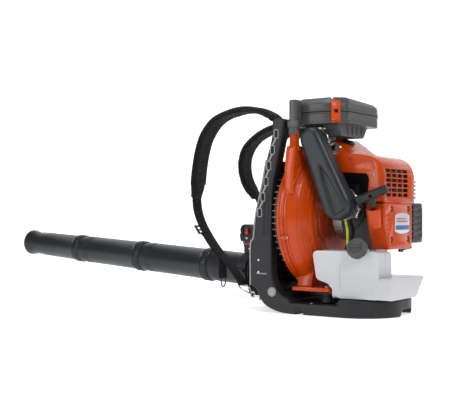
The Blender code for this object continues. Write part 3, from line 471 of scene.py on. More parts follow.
def rod(start, end, radius, end_radius=None, segments=32, round_by=0.0):
    start, end = Vector(start), Vector(end)
    shape = bmesh.new()
    bmesh.ops.create_cone(shape, cap_ends=True, segments=segments, radius1=radius,
                          radius2=radius if end_radius is None else end_radius, depth=(end - start).length)
    if round_by:
        rims = [edge for edge in shape.edges if any(len(face.verts) > 4 for face in edge.link_faces)]
        eased(shape, rims, round_by, 3)
    bmesh.ops.transform(shape, matrix=Matrix.Translation((start + end) / 2) @ turn_to(end - start),
                        verts=shape.verts)
    return shape


def dome(centre, radius, squash=(1, 1, 1), segments=24):
    shape = bmesh.new()
    bmesh.ops.create_uvsphere(shape, u_segments=segments, v_segments=segments // 2, radius=radius)
    bmesh.ops.scale(shape, vec=squash, verts=shape.verts)
    bmesh.ops.translate(shape, vec=centre, verts=shape.verts)
    return shape


def loft(rings, close=False):
    """A skin over rings of equal count, capped unless it closes on itself; its UVs are in metres."""
    shape = bmesh.new()
    layer = shape.loops.layers.uv.new("UVMap")
    grid = [[shape.verts.new(point) for point in points] for points in rings]
    turns = grid + [grid[0]] if close else grid
    travelled = 0.0
    for near, far in zip(turns, turns[1:]):
        step = (far[0].co - near[0].co).length
        around = 0.0
        for j, vert in enumerate(near):
            k = (j + 1) % len(near)
            width = (near[k].co - vert.co).length
            face = shape.faces.new((vert, near[k], far[k], far[j]))
            corners = ((around, travelled), (around + width, travelled),
                       (around + width, travelled + step), (around, travelled + step))
            for loop, corner in zip(face.loops, corners):
                loop[layer].uv = corner
            around += width
        travelled += step
    if not close:
        shape.faces.new(grid[0][::-1])
        shape.faces.new(grid[-1])
    return shape


def circle(radius, count=16):
    return [(radius * math.cos(a), radius * math.sin(a)) for a in turns(count)]


def rings_along(path, section, across=None, close=False, grow=None):
    """The section placed at every point of the path, facing along it."""
    path = [Vector(point) for point in path]
    side = Vector(across) if across else None
    rings = []
    for i, here in enumerate(path):
        ahead = path[(i + 1) % len(path)] if close or i + 1 < len(path) else here
        behind = path[i - 1] if close or i else here
        way = (ahead - behind).normalized()
        side = way.orthogonal() if side is None else side - way * side.dot(way)
        side.normalize()
        up = way.cross(side)
        size = grow(i / max(len(path) - 1, 1)) if grow else 1.0
        rings.append([here + side * u * size + up * v * size for u, v in section])
    return rings


def sweep(path, section, across=None, close=False, grow=None):
    return loft(rings_along(path, section, across, close, grow), close)


def flat_section(half, deep):
    return [(-half, -deep), (half, -deep), (half, deep), (-half, deep)]


def cable(path, radius, close=False, sides=14):
    return sweep(path, circle(radius, sides), None, close)


def screw(place, way, radius=0.004, depth=0.0022):
    """A pan head with a six-lobed socket sunk in it."""
    head = lathe([(0, -0.001), (radius, -0.001), (radius, depth * 0.5), (radius * 0.85, depth * 0.85),
                  (radius * 0.62, depth), (radius * 0.60, depth), (radius * 0.52, depth * 0.3),
                  (0, depth * 0.3)], (0, 0, 0), (0, 0, 1), 36)
    for vert in head.verts:
        flat = math.hypot(vert.co.x, vert.co.y)
        if 0.4 * radius < flat < 0.64 * radius:
            lobe = 0.14 if flat < 0.61 * radius else 0
            scale = 1 + lobe * math.cos(6 * math.atan2(vert.co.y, vert.co.x))
            vert.co.x *= scale
            vert.co.y *= scale
    bmesh.ops.transform(head, matrix=Matrix.Translation(place) @ turn_to(way), verts=head.verts)
    return head


def joined(shapes):
    """Many shapes as one, each with its normals outward."""
    whole = bmesh.new()
    for shape in shapes:
        bmesh.ops.recalc_face_normals(shape, faces=shape.faces)
        step = bpy.data.meshes.new("step")
        shape.to_mesh(step)
        shape.free()
        whole.from_mesh(step)
        bpy.data.meshes.remove(step)
    return whole


def placed(shape, matrix):
    bmesh.ops.transform(shape, matrix=matrix, verts=shape.verts)
    return shape


def settle(item):
    """Turns an object's modifiers into its mesh."""
    bpy.context.view_layer.update()
    graph = bpy.context.evaluated_depsgraph_get()
    mesh = bpy.data.meshes.new_from_object(item.evaluated_get(graph), preserve_all_data_layers=True,
                                           depsgraph=graph)
    old = item.data
    item.modifiers.clear()
    item.data = mesh
    bpy.data.meshes.remove(old)
    mesh.name = item.name


def link(name, shape):
    mesh = bpy.data.meshes.new(name)
    shape.to_mesh(mesh)
    shape.free()
    item = bpy.data.objects.new(name, mesh)
    bpy.context.scene.collection.objects.link(item)
    return item


def soften_edges(item, width, steps, angle=34):
    """Rounds the edges that turn by more than an angle."""
    step = item.modifiers.new("soften", "BEVEL")
    step.width = width
    step.segments = steps
    step.limit_method = "ANGLE"
    step.angle_limit = math.radians(angle)
    settle(item)


def piece(name, parts, body=MACHINE, slot="frame_plastic", nodes=(), cuts=(), soften=0.0, steps=2, sharp=38):
    """One finished object: (finish, shape) pairs joined, cut, softened, and set riding on its body."""
    finishes = list(dict.fromkeys(finish for finish, _ in parts))
    for finish, shape in parts:
        for face in shape.faces:
            face.material_index = finishes.index(finish)
    item = link(name, joined([shape for _, shape in parts]))
    for finish in finishes:
        item.data.materials.append(FINISHES[finish])
    tool = None
    if cuts:
        tool = link(name + "_cuts", joined(list(cuts)))
        step = item.modifiers.new("cuts", "BOOLEAN")
        step.operation = "DIFFERENCE"
        step.solver = "EXACT"
        step.use_self = True
        step.object = tool
        settle(item)
    if soften:
        soften_edges(item, soften, steps)
    if tool:
        bpy.data.objects.remove(tool)
    item.data.shade_smooth()
    item.data.set_sharp_from_angle(angle=math.radians(sharp))
    if body:
        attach(item, body)
    if nodes:
        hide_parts(*nodes)
    return item


def plain(name, finish, shape, slot=None, **facts):
    """A piece of one finish, which is also its material slot; the slot argument is not used."""
    return piece(name, [(finish, shape)], slot=slot or finish, **facts)


def tube_z(y):
    return PITCH.z + (y - PITCH.y) * TUBE_WAY.z / TUBE_WAY.y


def on_tube(y, lift=0.0):
    return Vector((PITCH.x, y, tube_z(y) + lift))


# ---------------------------------------------------------------- frame and harness

def shell(name, finish, base, adds, cuts, soften, steps=3, **facts):
    """A moulding made by uniting shapes with a base and cutting others away, then easing its edges."""
    item = link(name + "_core", joined([base]))
    tools = []
    for operation, shapes in (("UNION", adds), ("DIFFERENCE", cuts)):
        for shape in shapes:
            tool = link(name + "_tool", joined([shape]))
            tools.append(tool)
            step = item.modifiers.new(operation, "BOOLEAN")
            step.operation = operation
            step.solver = "EXACT"
            step.object = tool
    settle(item)
    shape = bmesh.new()
    shape.from_mesh(item.data)
    bmesh.ops.remove_doubles(shape, verts=shape.verts, dist=1e-5)
    bmesh.ops.dissolve_degenerate(shape, edges=shape.edges, dist=1e-5)
    for spent in tools + [item]:
        bpy.data.objects.remove(spent)
    return plain(name, finish, shape, soften=soften, steps=steps, **facts)


def melt(item, voxel, rounds):
    """Evens a moulding's mesh and rounds its edges, as a mould's cutter leaves them."""
    even = item.modifiers.new("even", "REMESH")
    even.mode = "VOXEL"
    even.voxel_size = voxel
    smooth = item.modifiers.new("smooth", "SMOOTH")
    smooth.factor = 0.5
    smooth.iterations = rounds
    finish = item.data.materials[0]
    settle(item)
    item.data.materials.clear()
    item.data.materials.append(finish)
    item.data.shade_smooth()


def edge_at(edge, z):
    """Where an edge that is drawn in side view stands at a height."""
    points = sorted((up, across) for across, up in edge)
    for (z0, y0), (z1, y1) in zip(points, points[1:]):
        if z0 <= z <= z1:
            return y0 + (y1 - y0) * (z - z0) / (z1 - z0)
    return points[0][1] if z < points[0][0] else points[-1][1]


BASE_TOP = 0.042
BASE_REAR = -0.150
BASE_CORNER = 0.110
DECK_Z = 0.0275            # the sunk deck that carries the dampers
RAIL_ROUNDS = (0.010, 0.030, 0.030, 0.030, 0.020, 0.006, 0.006, 0.008, 0.020, 0.030, 0.030, 0.010,
               0.006, 0.006, 0.030, 0.024, 0.030, 0.030, 0.030, 0.030, 0.030, 0.030, 0.010)
SLOT_PITCH = 0.039
SLOT_PLACES = [(edge_at(RAIL_FRONT, z), z) for z in (0.444 - SLOT_PITCH * k for k in range(6))]
BOSS = (0.150, 0.052)      # of the round boss on each rail


def frame_shell():
    inner = RAIL_X - RAIL_WIDTH
    side = slab(fillet(RAIL_FRONT + RAIL_REAR, RAIL_ROUNDS, 4), "X", -RAIL_X, RAIL_X)
    plan = [(-RAIL_X, 0.05)]
    plan += arc((-RAIL_X + BASE_CORNER, BASE_REAR + BASE_CORNER), BASE_CORNER, 180, 270, 18)
    plan += arc((0.100 - BASE_CORNER, BASE_REAR + BASE_CORNER), BASE_CORNER, 270, 360, 18)
    plan += [(RAIL_X, -0.02), (RAIL_X, 0.05)]
    base = slab(plan, "Z", 0.0, BASE_TOP)
    channel = slab([(0.05, 0.438)] + PLATE_REAR + [(0.05, 0.050)], "X", -inner, inner)
    seat = slab([(0.240, 0.205), (0.1915, 0.205), (0.167, 0.360), (0.240, 0.360)], "X", -inner, inner)
    foot = slab([(-0.05, -0.01), (-0.035, 0.016), (0.035, 0.016), (0.05, -0.01)], "Y", -0.30, -0.060)
    gap = bar((-0.105, 0.05, 0.378), (0.105, 0.30, 0.440), 0.012, 4)
    deck = bar((-0.20, -0.035, DECK_Z), (0.20, 0.10, 0.06))
    cuts = [channel, gap, seat, deck, foot]
    for side_x in (-1, 1):
        for y, z in SLOT_PLACES:
            cuts.append(bar((side_x * RAIL_X - 0.006, y - 0.016, z - 0.0085),
                            (side_x * RAIL_X + 0.006, y - 0.007, z + 0.0085), 0.0015, 2))
        cuts.append(slab(fillet([(0.162, 0.19), (0.176, 0.19), (0.172, 0.30), (0.158, 0.30)], 0.004), "X",
                         side_x * RAIL_X - 0.002, side_x * RAIL_X + 0.002))
    cuts.append(slab(fillet([(0.060, 0.0), (0.085, 0.0), (0.080, 0.013), (0.064, 0.013)], 0.004), "X",
                     -0.20, 0.20))
    item = shell("frame_moulding", "frame_plastic", side, [base], cuts, 0.0, nodes=["back_frame"])
    melt(item, 0.0027, 5)


def frame_details():
    grey_boss_and_highlights = []
    steel = []
    for sign in (-1, 1):
        x = sign * RAIL_X
        # Painted highlights: light grey rims round each slot and grey pinches between them stand for light
        # caught on the raised edges.
        for y, z in SLOT_PLACES:
            loop = fillet([(y - 0.0175, z - 0.0105), (y - 0.0055, z - 0.0105), (y - 0.0055, z + 0.0105),
                           (y - 0.0175, z + 0.0105)], 0.003, 3)
            grey_boss_and_highlights.append(cable([(x, u, v) for u, v in loop], 0.0013, True, 8))
        for low, high in zip(SLOT_PLACES[1:], SLOT_PLACES):
            pinch = [(x, low[0] - 0.0115, low[1] + 0.0105), (x, (low[0] + high[0]) / 2 - 0.0115,
                     (low[1] + high[1]) / 2), (x, high[0] - 0.0115, high[1] - 0.0105)]
            grey_boss_and_highlights.append(sweep(pinch, flat_section(0.002, 0.001), (0, 1, 0)))
        # Painted highlight: a light grey line along the rail's front edge; the boss and the short bar below
        # share the same grey.
        edge = smooth_path([(x * 0.994, y - 0.0005, z) for y, z in RAIL_FRONT[2:8]], 4)
        grey_boss_and_highlights.append(cable(edge, 0.0022, False, 10))
        grey_boss_and_highlights.append(rod((x - sign * 0.004, *BOSS), (x + sign * 0.0035, *BOSS), 0.013, 0.011, 32, 0.0012))
        grey_boss_and_highlights.append(bar((x - 0.0012, 0.166, 0.095), (x + 0.0012, 0.196, 0.098), 0.0006, 2))
        for y, z in ((0.190, 0.100), (0.190, 0.130)):
            steel.append(rod((x - sign * 0.002, y, z), (x + sign * 0.0008, y, z), 0.0026, 0.0026, 18))
        steel.append(screw((x + sign * 0.001, *BOSS), (sign, 0, 0), 0.0055, 0.003))
        steel += [screw((sign * u, v, DECK_Z), (0, 0, 1), 0.005) for u,
                  v in ((0.105, -0.010), (0.134, 0.045))]
    ribs = []
    inner = RAIL_X - RAIL_WIDTH
    for k in range(7):
        z = 0.085 + 0.043 * k
        y = edge_at(PLATE_REAR, z)
        ribs.append(bar((-inner, y - 0.010, z - 0.0015), (inner, y + 0.001, z + 0.0015), 0.0006, 2))
    for x in (-0.075, -0.025, 0.025, 0.075):
        path = [(x, edge_at(PLATE_REAR, z) - 0.004, z) for z in (0.07, 0.12, 0.18, 0.24, 0.30, 0.36)]
        ribs.append(sweep(path, flat_section(0.0014, 0.006), (1, 0, 0)))
    plain("frame_trim", "edge_grey", joined(grey_boss_and_highlights), slot="frame_plastic")
    plain("frame_screws", "bright_steel", joined(steel))
    plain("frame_ribs", "frame_plastic", joined(ribs))
    feet = [bar((x - 0.012, y - 0.018, -0.0004), (x + 0.012, y + 0.018, 0.004), 0.0015, 2)
            for x in (-0.105, 0.065) for y in (-0.055, 0.025)]
    plain("rubber_feet", "black_rubber", joined(feet), slot="black_plastic")


def rounded_section(width, thick, corner, steps=3):
    return [tuple(p) for p in fillet(flat_section(width / 2, thick / 2), corner, steps)]


def strap_path(route, side, ends, steps=5):
    """A strap's centreline: its side view, moved out from the middle as it falls."""
    sign = SIDES[side]
    path = smooth_path([(0, y, z) for y, z in route], steps)
    top, bottom = path[0].z, path[-1].z
    for point in path:
        share = min(max((top - point.z) / (top - bottom), 0), 1)
        point.x = sign * (ends[0] + (ends[1] - ends[0]) * share)
    return path


CLOTH_FRAMES = 20


def puff(item, voxel, pressure, cap):
    """Cloth blown up a little over foam, so that it pulls tight and creases, and never past the cap."""
    step = item.modifiers.new("even", "REMESH")
    step.mode = "VOXEL"
    step.voxel_size = voxel
    settle(item)
    start = [vert.co.copy() for vert in item.data.vertices]
    cloth = item.modifiers.new("cloth", "CLOTH")
    cloth.settings.quality = 5
    cloth.settings.mass = 0.15
    cloth.settings.use_pressure = True
    cloth.settings.uniform_pressure_force = pressure
    cloth.settings.tension_stiffness = 12
    cloth.settings.compression_stiffness = 12
    cloth.settings.bending_stiffness = 0.35
    cloth.settings.effector_weights.gravity = 0
    cloth.point_cache.frame_start = 1
    cloth.point_cache.frame_end = CLOTH_FRAMES
    for number in range(1, CLOTH_FRAMES + 1):
        bpy.context.scene.frame_set(number)
    settle(item)
    bpy.context.scene.frame_set(1)
    for vert, rest in zip(item.data.vertices, start):
        move = vert.co - rest
        if move.length > cap:
            vert.co = rest + move.normalized() * cap
    finer = item.modifiers.new("finer", "SUBSURF")
    finer.levels = finer.render_levels = 1
    settle(item)


def wrinkle(item, depth, scale, seed):
    """Shallow creases pressed into a cover along its normals, from noise."""
    for vert in item.data.vertices:
        place = Vector((vert.co.x * 0.7, vert.co.y, vert.co.z)) * scale + Vector((seed, 0, 0))
        crease = 1 - abs(noise.noise(place)) * 3
        vert.co += vert.normal * depth * (noise.noise(place * 0.5 + Vector((5, 1, 2)))
                                          + max(crease, 0) * -0.6)


def soft_piece(name, shape, finish, nodes, voxel, pressure, cap, crease, seed):
    item = link(name, joined([shape]))
    puff(item, voxel, pressure, cap)
    wrinkle(item, crease, 26, seed)
    item.data.materials.clear()
    item.data.materials.append(FINISHES[finish])
    item.data.shade_smooth()
    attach(item, MACHINE)
    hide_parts(*nodes)
    return item


def stitches(path, step, size):
    """Thread showing as short dashes along a line of points."""
    made = []
    path = [Vector(point) for point in path]
    spare = 0.0
    for near, far in zip(path, path[1:]):
        length = (far - near).length
        way = (far - near).normalized()
        at = spare
        while at < length - step * 0.6:
            start = near + way * at
            made.append(cable([start, start + way * step * 0.3, start + way * step * 0.6], size, False, 6))
            at += step
        spare = max(at - length, 0)
    return joined(made)


def shoulder_straps():
    for side, sign in SIDES.items():
        path = strap_path(PAD_ROUTES[side], side, (0.108, 0.116), 5)
        body = sweep(path, rounded_section(0.060, 0.0125, 0.005), (1, 0, 0), False,
                     lambda share: 1 - 0.36 * max(0, (share - 0.88) / 0.12))
        soft_piece("shoulder_cover_" + side, body, "pad_fabric", ["shoulder_pad_" + side], 0.0042, 4.0,
                   0.0022, 0.0008, 3.0 * sign)
        binding = []
        thread = []
        for edge in (-1, 1):
            line = [point + Vector((edge * 0.0295, 0, 0)) for point in path[1:-6]]
            binding.append(cable(line, 0.0026, False, 10))
        for edge in (-1, 1):
            outer = []
            for i in range(1, len(path) - 6):
                way = (path[i + 1] - path[i - 1]).normalized()
                outer.append(path[i] + Vector((edge * 0.023, 0, 0)) + face_out(way) * 0.0072)
            thread.append(stitches(outer, 0.0045, 0.0005))
        web = []
        for i in range(2, len(path) - 1):
            way = (path[i + 1] - path[i - 1]).normalized()
            web.append(path[i] + face_out(way) * 0.0082)
        strip = sweep(web, rounded_section(0.034, 0.0018, 0.0007, 2), (1, 0, 0))
        plain("shoulder_binding_" + side, "webbing_fabric", joined(binding))
        plain("shoulder_strip_" + side, "webbing_fabric", strip)
        plain("shoulder_thread_" + side, "edge_grey", joined(thread), slot="webbing_fabric")


def face_out(way):
    """The outer side of a strap that runs this way: up and away from the wearer's body."""
    return way.cross(Vector((-1, 0, 0))).normalized()


def pads():
    back = slab(fillet([(0.2025, 0.211), (0.1935, 0.213), (0.1705, 0.350), (0.176, 0.355), (0.195, 0.344),
                        (0.2205, 0.240)], 0.004), "X", -0.106, 0.106, 0.004)
    soft_piece("back_cover", back, "pad_fabric", ["back_pad"], 0.0052, 4.0, 0.0022, 0.0009, 1.0)
    hips = slab(fillet([(0.2172, 0.032), (0.2172, 0.158), (0.229, 0.170), (0.249, 0.158), (0.264, 0.110),
                        (0.266, 0.052), (0.251, 0.028)], 0.006), "X", -0.092, 0.092, 0.006)
    soft_piece("hip_cover", hips, "hip_fabric", ["hip_pad"], 0.0052, 4.5, 0.0028, 0.0016, 9.0)
    seams = []
    for sign in (-1, 1):
        line = [(sign * 0.090, y, z) for y, z in
                fillet([(0.2185, 0.034), (0.2185, 0.157), (0.230, 0.168), (0.248, 0.157), (0.262, 0.110),
                        (0.264, 0.054), (0.251, 0.031)], 0.008, 4)]
        seams.append(cable(line, 0.0018, True, 8))
        line = [(sign * 0.104, y, z) for y, z in
                fillet([(0.2015, 0.214), (0.1950, 0.216), (0.1730, 0.348), (0.177, 0.352), (0.193, 0.342),
                        (0.218, 0.240)], 0.005, 4)]
        seams.append(cable(line, 0.0016, True, 8))
    plain("pad_piping", "webbing_fabric", joined(seams))


TUCK = 0.022        # how far the webbing runs up inside the pad


def webbing():
    for side, sign in SIDES.items():
        end, before = Vector(WEB_ROUTES[side][0]), Vector(PAD_ROUTES[side][-2])
        tucked = tuple(end.lerp(before, TUCK / (before - end).length))
        path = strap_path([tucked] + WEB_ROUTES[side], side, (0.116, 0.118), 6)
        for i, point in enumerate(path):
            share = i / (len(path) - 1)
            point.x += 0.0009 * math.sin(share * 9 + sign)
        strap = sweep(path, rounded_section(0.037, 0.0024, 0.0008, 2), (1, 0, 0))
        plain("strap_" + side, "webbing_fabric", strap, nodes=["webbing_" + side])
        adjuster(side, sign, path)
        d_ring(side, sign)


ADJUSTERS = {"left": ((0.3862, 0.2080), 54), "right": ((0.3195, 0.1805), 64)}   # place and lean
TAIL_TOP = 0.112     # the loose end leaves the strap at this height and hangs


def adjuster(side, sign, path):
    """Ladder-lock: two side rails, three bars, a lifted lip, and the strap's tail hanging from it."""
    (y, z), lean = ADJUSTERS[side]
    half = 0.0235
    parts = [bar((edge - 0.0020, 0.0005, -0.0135), (edge + 0.0020, 0.0070, 0.0135), 0.0014, 3)
             for edge in (-half, half)]
    parts += [rod((-half, high, at), (half, high, at), 0.0021, None, 20)
              for at, high in ((-0.0115, 0.0035), (0.000, 0.0052), (0.0115, 0.0035))]
    lip = slab(fillet([(0.0015, -0.0138), (0.0066, -0.0118), (0.0072, -0.0095), (0.0030, -0.0105)], 0.0006,
                      2), "X", -0.0225, 0.0225, 0.0004, 2)
    place = (Matrix.Translation((sign * 0.117, y, z)) @ Matrix.Rotation(math.radians(lean - 90), 4, "X")
             @ Matrix.Translation((0, 0.0035, 0)))
    buckle = placed(joined(parts + [lip]), place)
    # Painted highlight: a thin light grey rod along the top bar stands for light caught on its edge.
    bright = placed(rod((-0.018, 0.0066, 0.0115), (0.018, 0.0066, 0.0115), 0.0011, None, 12), place)
    piece("ladder_lock_" + side, [("black_plastic", buckle), ("edge_grey", bright)], slot="black_plastic",
          nodes=["strap_adjuster_" + side])
    start = place @ Vector((0, 0.0062, -0.010))
    below = [point for point in path if point.y < y - 0.012 and point.z > TAIL_TOP]
    fall = [start]
    for near, far in zip(below[::3], below[3::3]):
        way = (far - near).normalized()
        fall.append(near + 0.0050 * Vector((0, -way.z, way.y)))
    fall += [fall[-1] + Vector((0, 0.001, -0.026)), fall[-1] + Vector((0, -0.001, -0.052))]
    tail = smooth_path(fall, 6)
    strap = sweep(tail, rounded_section(0.034, 0.0018, 0.0006, 2), (1, 0, 0))
    end = tail[-1]
    loop = [(end.x + 0.009 * math.cos(a), end.y - 0.001, end.z - 0.010 + 0.012 * math.sin(a))
            for a in turns(28)]
    plain("strap_tail_" + side, "webbing_fabric", strap)
    plain("pull_ring_" + side, "black_plastic", cable(loop, 0.0017, True, 10))


def d_ring(side, sign):
    y, z = WEB_ROUTES[side][-1]
    x = sign * 0.118
    wire = 0.0022
    low, high = (y - 0.033, z - 0.030), (y + 0.001, z - 0.006)
    corners = [(x + 0.019, high[0], high[1]), (x - 0.019, high[0], high[1]),
               (x - 0.018, high[0] - 0.014, high[1] - 0.012), (x, low[0], low[1] + 0.001),
               (x + 0.018, high[0] - 0.014, high[1] - 0.012)]
    ring_wire = cable(fillet(corners, (0.004, 0.004, 0.008, 0.014, 0.008), 6), wire, True, 16)
    plain("steel_ring_" + side, "bright_steel", ring_wire, nodes=["d_ring_" + side])
    start = (x, low[0] - 2.2 * wire, low[1] + 0.0005)
    bend = smooth_path([start, (x, 0.224, 0.0365), (x, 0.212, 0.036), (x - sign * 0.002, 0.2017, 0.036)], 5)
    eye = [(x, start[1] + 0.0045 - 0.0062 * math.cos(a), start[2] + 0.0068 * math.sin(a))
           for a in turns(24)]
    plate = bar((x - 0.010, 0.2012, 0.027), (x + 0.010, 0.2038, 0.045), 0.001, 2)
    wires = joined([cable(bend, 0.0028), cable(eye, 0.0020, True, 12)])
    piece("steel_hook_" + side, [("bright_steel", wires), ("dull_steel", plate)], slot="bright_steel",
          nodes=["strap_hook_" + side])
    keeper = sweep([(x, y + 0.003, z + 0.006), (x, y - 0.001, z - 0.001), (x, y - 0.003, z - 0.006)],
                   rounded_section(0.039, 0.006, 0.0015, 2), (1, 0, 0))
    plain("strap_loop_" + side, "webbing_fabric", keeper)


def damper_mounts():
    for side, sign in SIDES.items():
        base = (sign * 0.105, 0.017, 0.0278)
        height = 0.0299
        body = lathe([(0, 0), (0.0120, 0), (0.0155, 0.003), (0.0155, 0.008), (0.0128, 0.0125),
                      (0.0128, 0.0175), (0.0155, 0.022), (0.0155, height - 0.003), (0.0125, height),
                      (0, height)], base, (0, 0, 1), 48)
        seat = ring(0.006, 0.0140, (base[0], base[1], base[2] + height - 0.0006), (0, 0, 1), 0.0012, 0, 40)
        bolt = screw((base[0], base[1], 0.0665), (0, 0, 1), 0.0065, 0.004)
        piece("rubber_damper_" + side, [("black_rubber", body), ("dull_steel", seat), ("bright_steel", bolt)],
              slot="black_plastic", nodes=["damper_" + side])


# ---------------------------------------------------------------- fan and engine shells

def fan_shells():
    centre = (0, 0, AXIS.z)
    r = HOUSING_R
    front_profile = fillet([(0.112, 0.126), (r - 0.009, 0.126), (r, 0.119), (r, 0.1003), (r - 0.005, 0.1003),
                            (r - 0.005, 0.117), (r - 0.010, 0.122), (0.112, 0.122)], 0.002, 3)
    front = lathe(front_profile, centre, (0, 1, 0), 128)
    rear_profile = fillet([(r, 0.0998), (r, 0.085), (r - 0.012, 0.066), (r - 0.028, 0.056), (0.128, 0.047),
                           (0.030, 0.047), (0.030, 0.051), (0.126, 0.051), (r - 0.031, 0.060),
                           (r - 0.016, 0.070), (r - 0.005, 0.087), (r - 0.005, 0.0998)],
                          (0.001, 0.006, 0.006, 0.004, 0.006, 0.001, 0.001, 0.002, 0.002, 0.002, 0.002,
                           0.001), 4)
    rear = lathe(rear_profile, centre, (0, 1, 0), 128)
    stub = ring(0.030, 0.034, (0.110, 0.0865, 0.102), (1, 0, -0.15), 0.042, 0.0008, 64)
    window, mouth = (rod((0.100, 0.0865, 0.1035), (0.156, 0.0865, 0.095), radius, None, 48)
                     for radius in (0.0305, 0.0345))
    shell("housing_rear", "orange_shell", rear, [], [window], 0.0,
          nodes=["fan_housing_rear"], sharp=32)
    shell("housing_front", "orange_shell", front, [], [mouth], 0.0,
          nodes=["fan_housing_front"], sharp=32)
    plain("outlet_spigot", "orange_shell", shell_half(stub))
    housing_ribs(centre, r)
    housing_ear()


def shell_half(shape):
    """The stub without the stretch that lies inside the scroll."""
    bmesh.ops.bisect_plane(shape, geom=shape.verts[:] + shape.edges[:] + shape.faces[:], dist=1e-6,
                           plane_co=(0.118, 0.0865, 0.100), plane_no=(-1, 0, 0.15), clear_outer=True)
    rims = [edge for edge in shape.edges if edge.is_boundary]
    bmesh.ops.bridge_loops(shape, edges=rims)
    return shape


def housing_ribs(centre, r):
    """Raised hoops, seam rings, the dark joint line and the screwed lugs of the joint."""
    raised = []
    for radius, height, thick in ((r + 0.0006, 0.0915, 0.0016), (r + 0.0006, 0.1115, 0.0014),
                                  (r - 0.0095, 0.0692, 0.0014), (r - 0.0185, 0.0618, 0.0014),
                                  (0.1445, 0.0540, 0.0014), (0.1330, 0.0494, 0.0014),
                                  (0.1150, 0.0470, 0.0014), (0.0950, 0.0470, 0.0014)):
        hoop = [(thick * math.cos(a) + radius, height + thick * math.sin(a))
                for a in turns(10)]
        raised.append(lathe(hoop, centre, (0, 1, 0), 128))
    seam = [(r - 0.001, 0.0985), (r + 0.0022, 0.0985), (r + 0.0022, 0.0996), (r - 0.001, 0.0996)]
    raised.append(lathe(seam, centre, (0, 1, 0), 128))
    front_seam = [(u, v + 0.0018) for u, v in seam]
    raised.append(lathe(front_seam, centre, (0, 1, 0), 128))
    dark = [(r - 0.0002, 0.0996), (r + 0.0009, 0.0996), (r + 0.0009, 0.1003), (r - 0.0002, 0.1003)]
    steel = []
    for degrees in (12, 58, 100, 148, 196, 238, 330):
        a = math.radians(degrees)
        x, z = (r + 0.002) * math.cos(a), AXIS.z + (r + 0.002) * math.sin(a)
        raised.append(rod((x, 0.0905, z), (x, 0.1095, z), 0.0062, None, 28, 0.001))
        steel.append(screw((x, 0.0905, z), (0, -1, 0), 0.0042, 0.0026))
    plain("housing_ridges", "orange_shell", joined(raised), sharp=45)
    plain("housing_joint", "recess_black", lathe(dark, centre, (0, 1, 0), 128), slot="black_plastic")
    plain("housing_screws", "bright_steel", joined(steel))


def housing_ear():
    ear = [(-0.160, 0.412), (-0.112, 0.412), (-0.096, 0.386), (-0.118, 0.366), (-0.150, 0.331),
           (-0.170, 0.292), (-0.169, 0.360)]
    face = slab(fillet(ear, 0.006, 3), "Y", 0.0755, 0.1005)
    pocket = [slab(fillet([(-0.152, 0.400), (-0.122, 0.400), (-0.112, 0.386), (-0.128, 0.368)], 0.004), "Y",
                   0.070, 0.0800)]
    plain("housing_ear", "orange_shell", face, cuts=pocket, soften=0.0030, steps=3)
    flange = bar((-0.135, -0.002, 0.058), (0.135, 0.0998, 0.0665))
    web = slab(fillet([(-0.112, 0.0660), (-0.096, 0.112), (0.096, 0.112), (0.112, 0.0660)], 0.004), "Y",
               0.060, 0.0998)
    holes = [rod((x, 0.060, 0.04), (x, 0.060, 0.08), 0.0042, None, 24) for x in (-0.122, 0.122)]
    shell("housing_foot", "orange_shell", flange, [web], holes, 0.0020, 3)
    ridges = []
    for k in range(3):
        x, z = -0.1655 + 0.010 * k, 0.322 + 0.013 * k
        ridges.append(rod((x - 0.004, 0.0775, z - 0.008), (x + 0.010, 0.0740, z + 0.014), 0.0028, 0.0020,
                          16, 0.001))
    for k in range(4):
        z = 0.190 - 0.022 * k
        x = -math.sqrt(max(HOUSING_R ** 2 - (z - AXIS.z) ** 2, 0)) - 0.0008
        ridges.append(bar((x - 0.0012, 0.0865, z - 0.0012), (x + 0.006, 0.1135, z + 0.0012), 0.0008, 2))
    post = rod((-0.138, 0.0915, 0.404), (-0.138, 0.0915, 0.4580), 0.0125, 0.0115, 8, 0.0015)
    collar = rod((-0.138, 0.0915, 0.404), (-0.138, 0.0915, 0.4145), 0.0150, 0.0135, 8, 0.0012)
    plain("housing_post", "orange_shell", joined(ridges + [post, collar]), sharp=25)
    strip = bar((-0.121, 0.0005, 0.0545), (-0.096, 0.004, 0.0580), 0.0008, 2)
    plain("flange_strip", "handle_red", strip, slot="clip_orange")


def grille():
    low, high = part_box("inlet_grille")
    y0, y1 = low.y, high.y
    slats = [ring(0.150, 0.156, (0, y0, AXIS.z), (0, 1, 0), y1 - y0, 0.001, 96)]
    # Painted highlights: thin light grey bars at the slat ends stand for light caught on their edges.
    light = []
    for k in range(-9, 10):
        z = k * 0.0155
        half = math.sqrt(0.1545 ** 2 - z ** 2)
        blade = bar((-half, -0.0065, -0.0010), (half, 0.0065, 0.0010), 0.0006, 2)
        lean = Matrix.Translation((0, (y0 + y1) / 2, AXIS.z + z)) @ Matrix.Rotation(math.radians(-24), 4, "X")
        slats.append(placed(blade, lean))
        for sign in (-1, 1):
            slats.append(bar((sign * half - 0.0045, y0 + 0.0006, AXIS.z + z - 0.0010),
                             (sign * half + 0.0045, y1 + 0.0035, AXIS.z + z + 0.0010), 0.0006, 2))
            light.append(bar((sign * (half + 0.0044) - 0.0004, y0 + 0.0012, AXIS.z + z - 0.0007),
                             (sign * (half + 0.0044) + 0.0004, y1 + 0.0030, AXIS.z + z + 0.0007)))
    for x in (-0.075, 0, 0.075):
        half = math.sqrt(0.153 ** 2 - x ** 2)
        slats.append(bar((x - 0.0022, y0 + 0.003, AXIS.z - half), (x + 0.0022, y1 - 0.001, AXIS.z + half),
                         0.0008, 2))
    piece("grille_slats", [("black_plastic", joined(slats)), ("edge_grey", joined(light))],
          slot="black_plastic", nodes=["inlet_grille"])


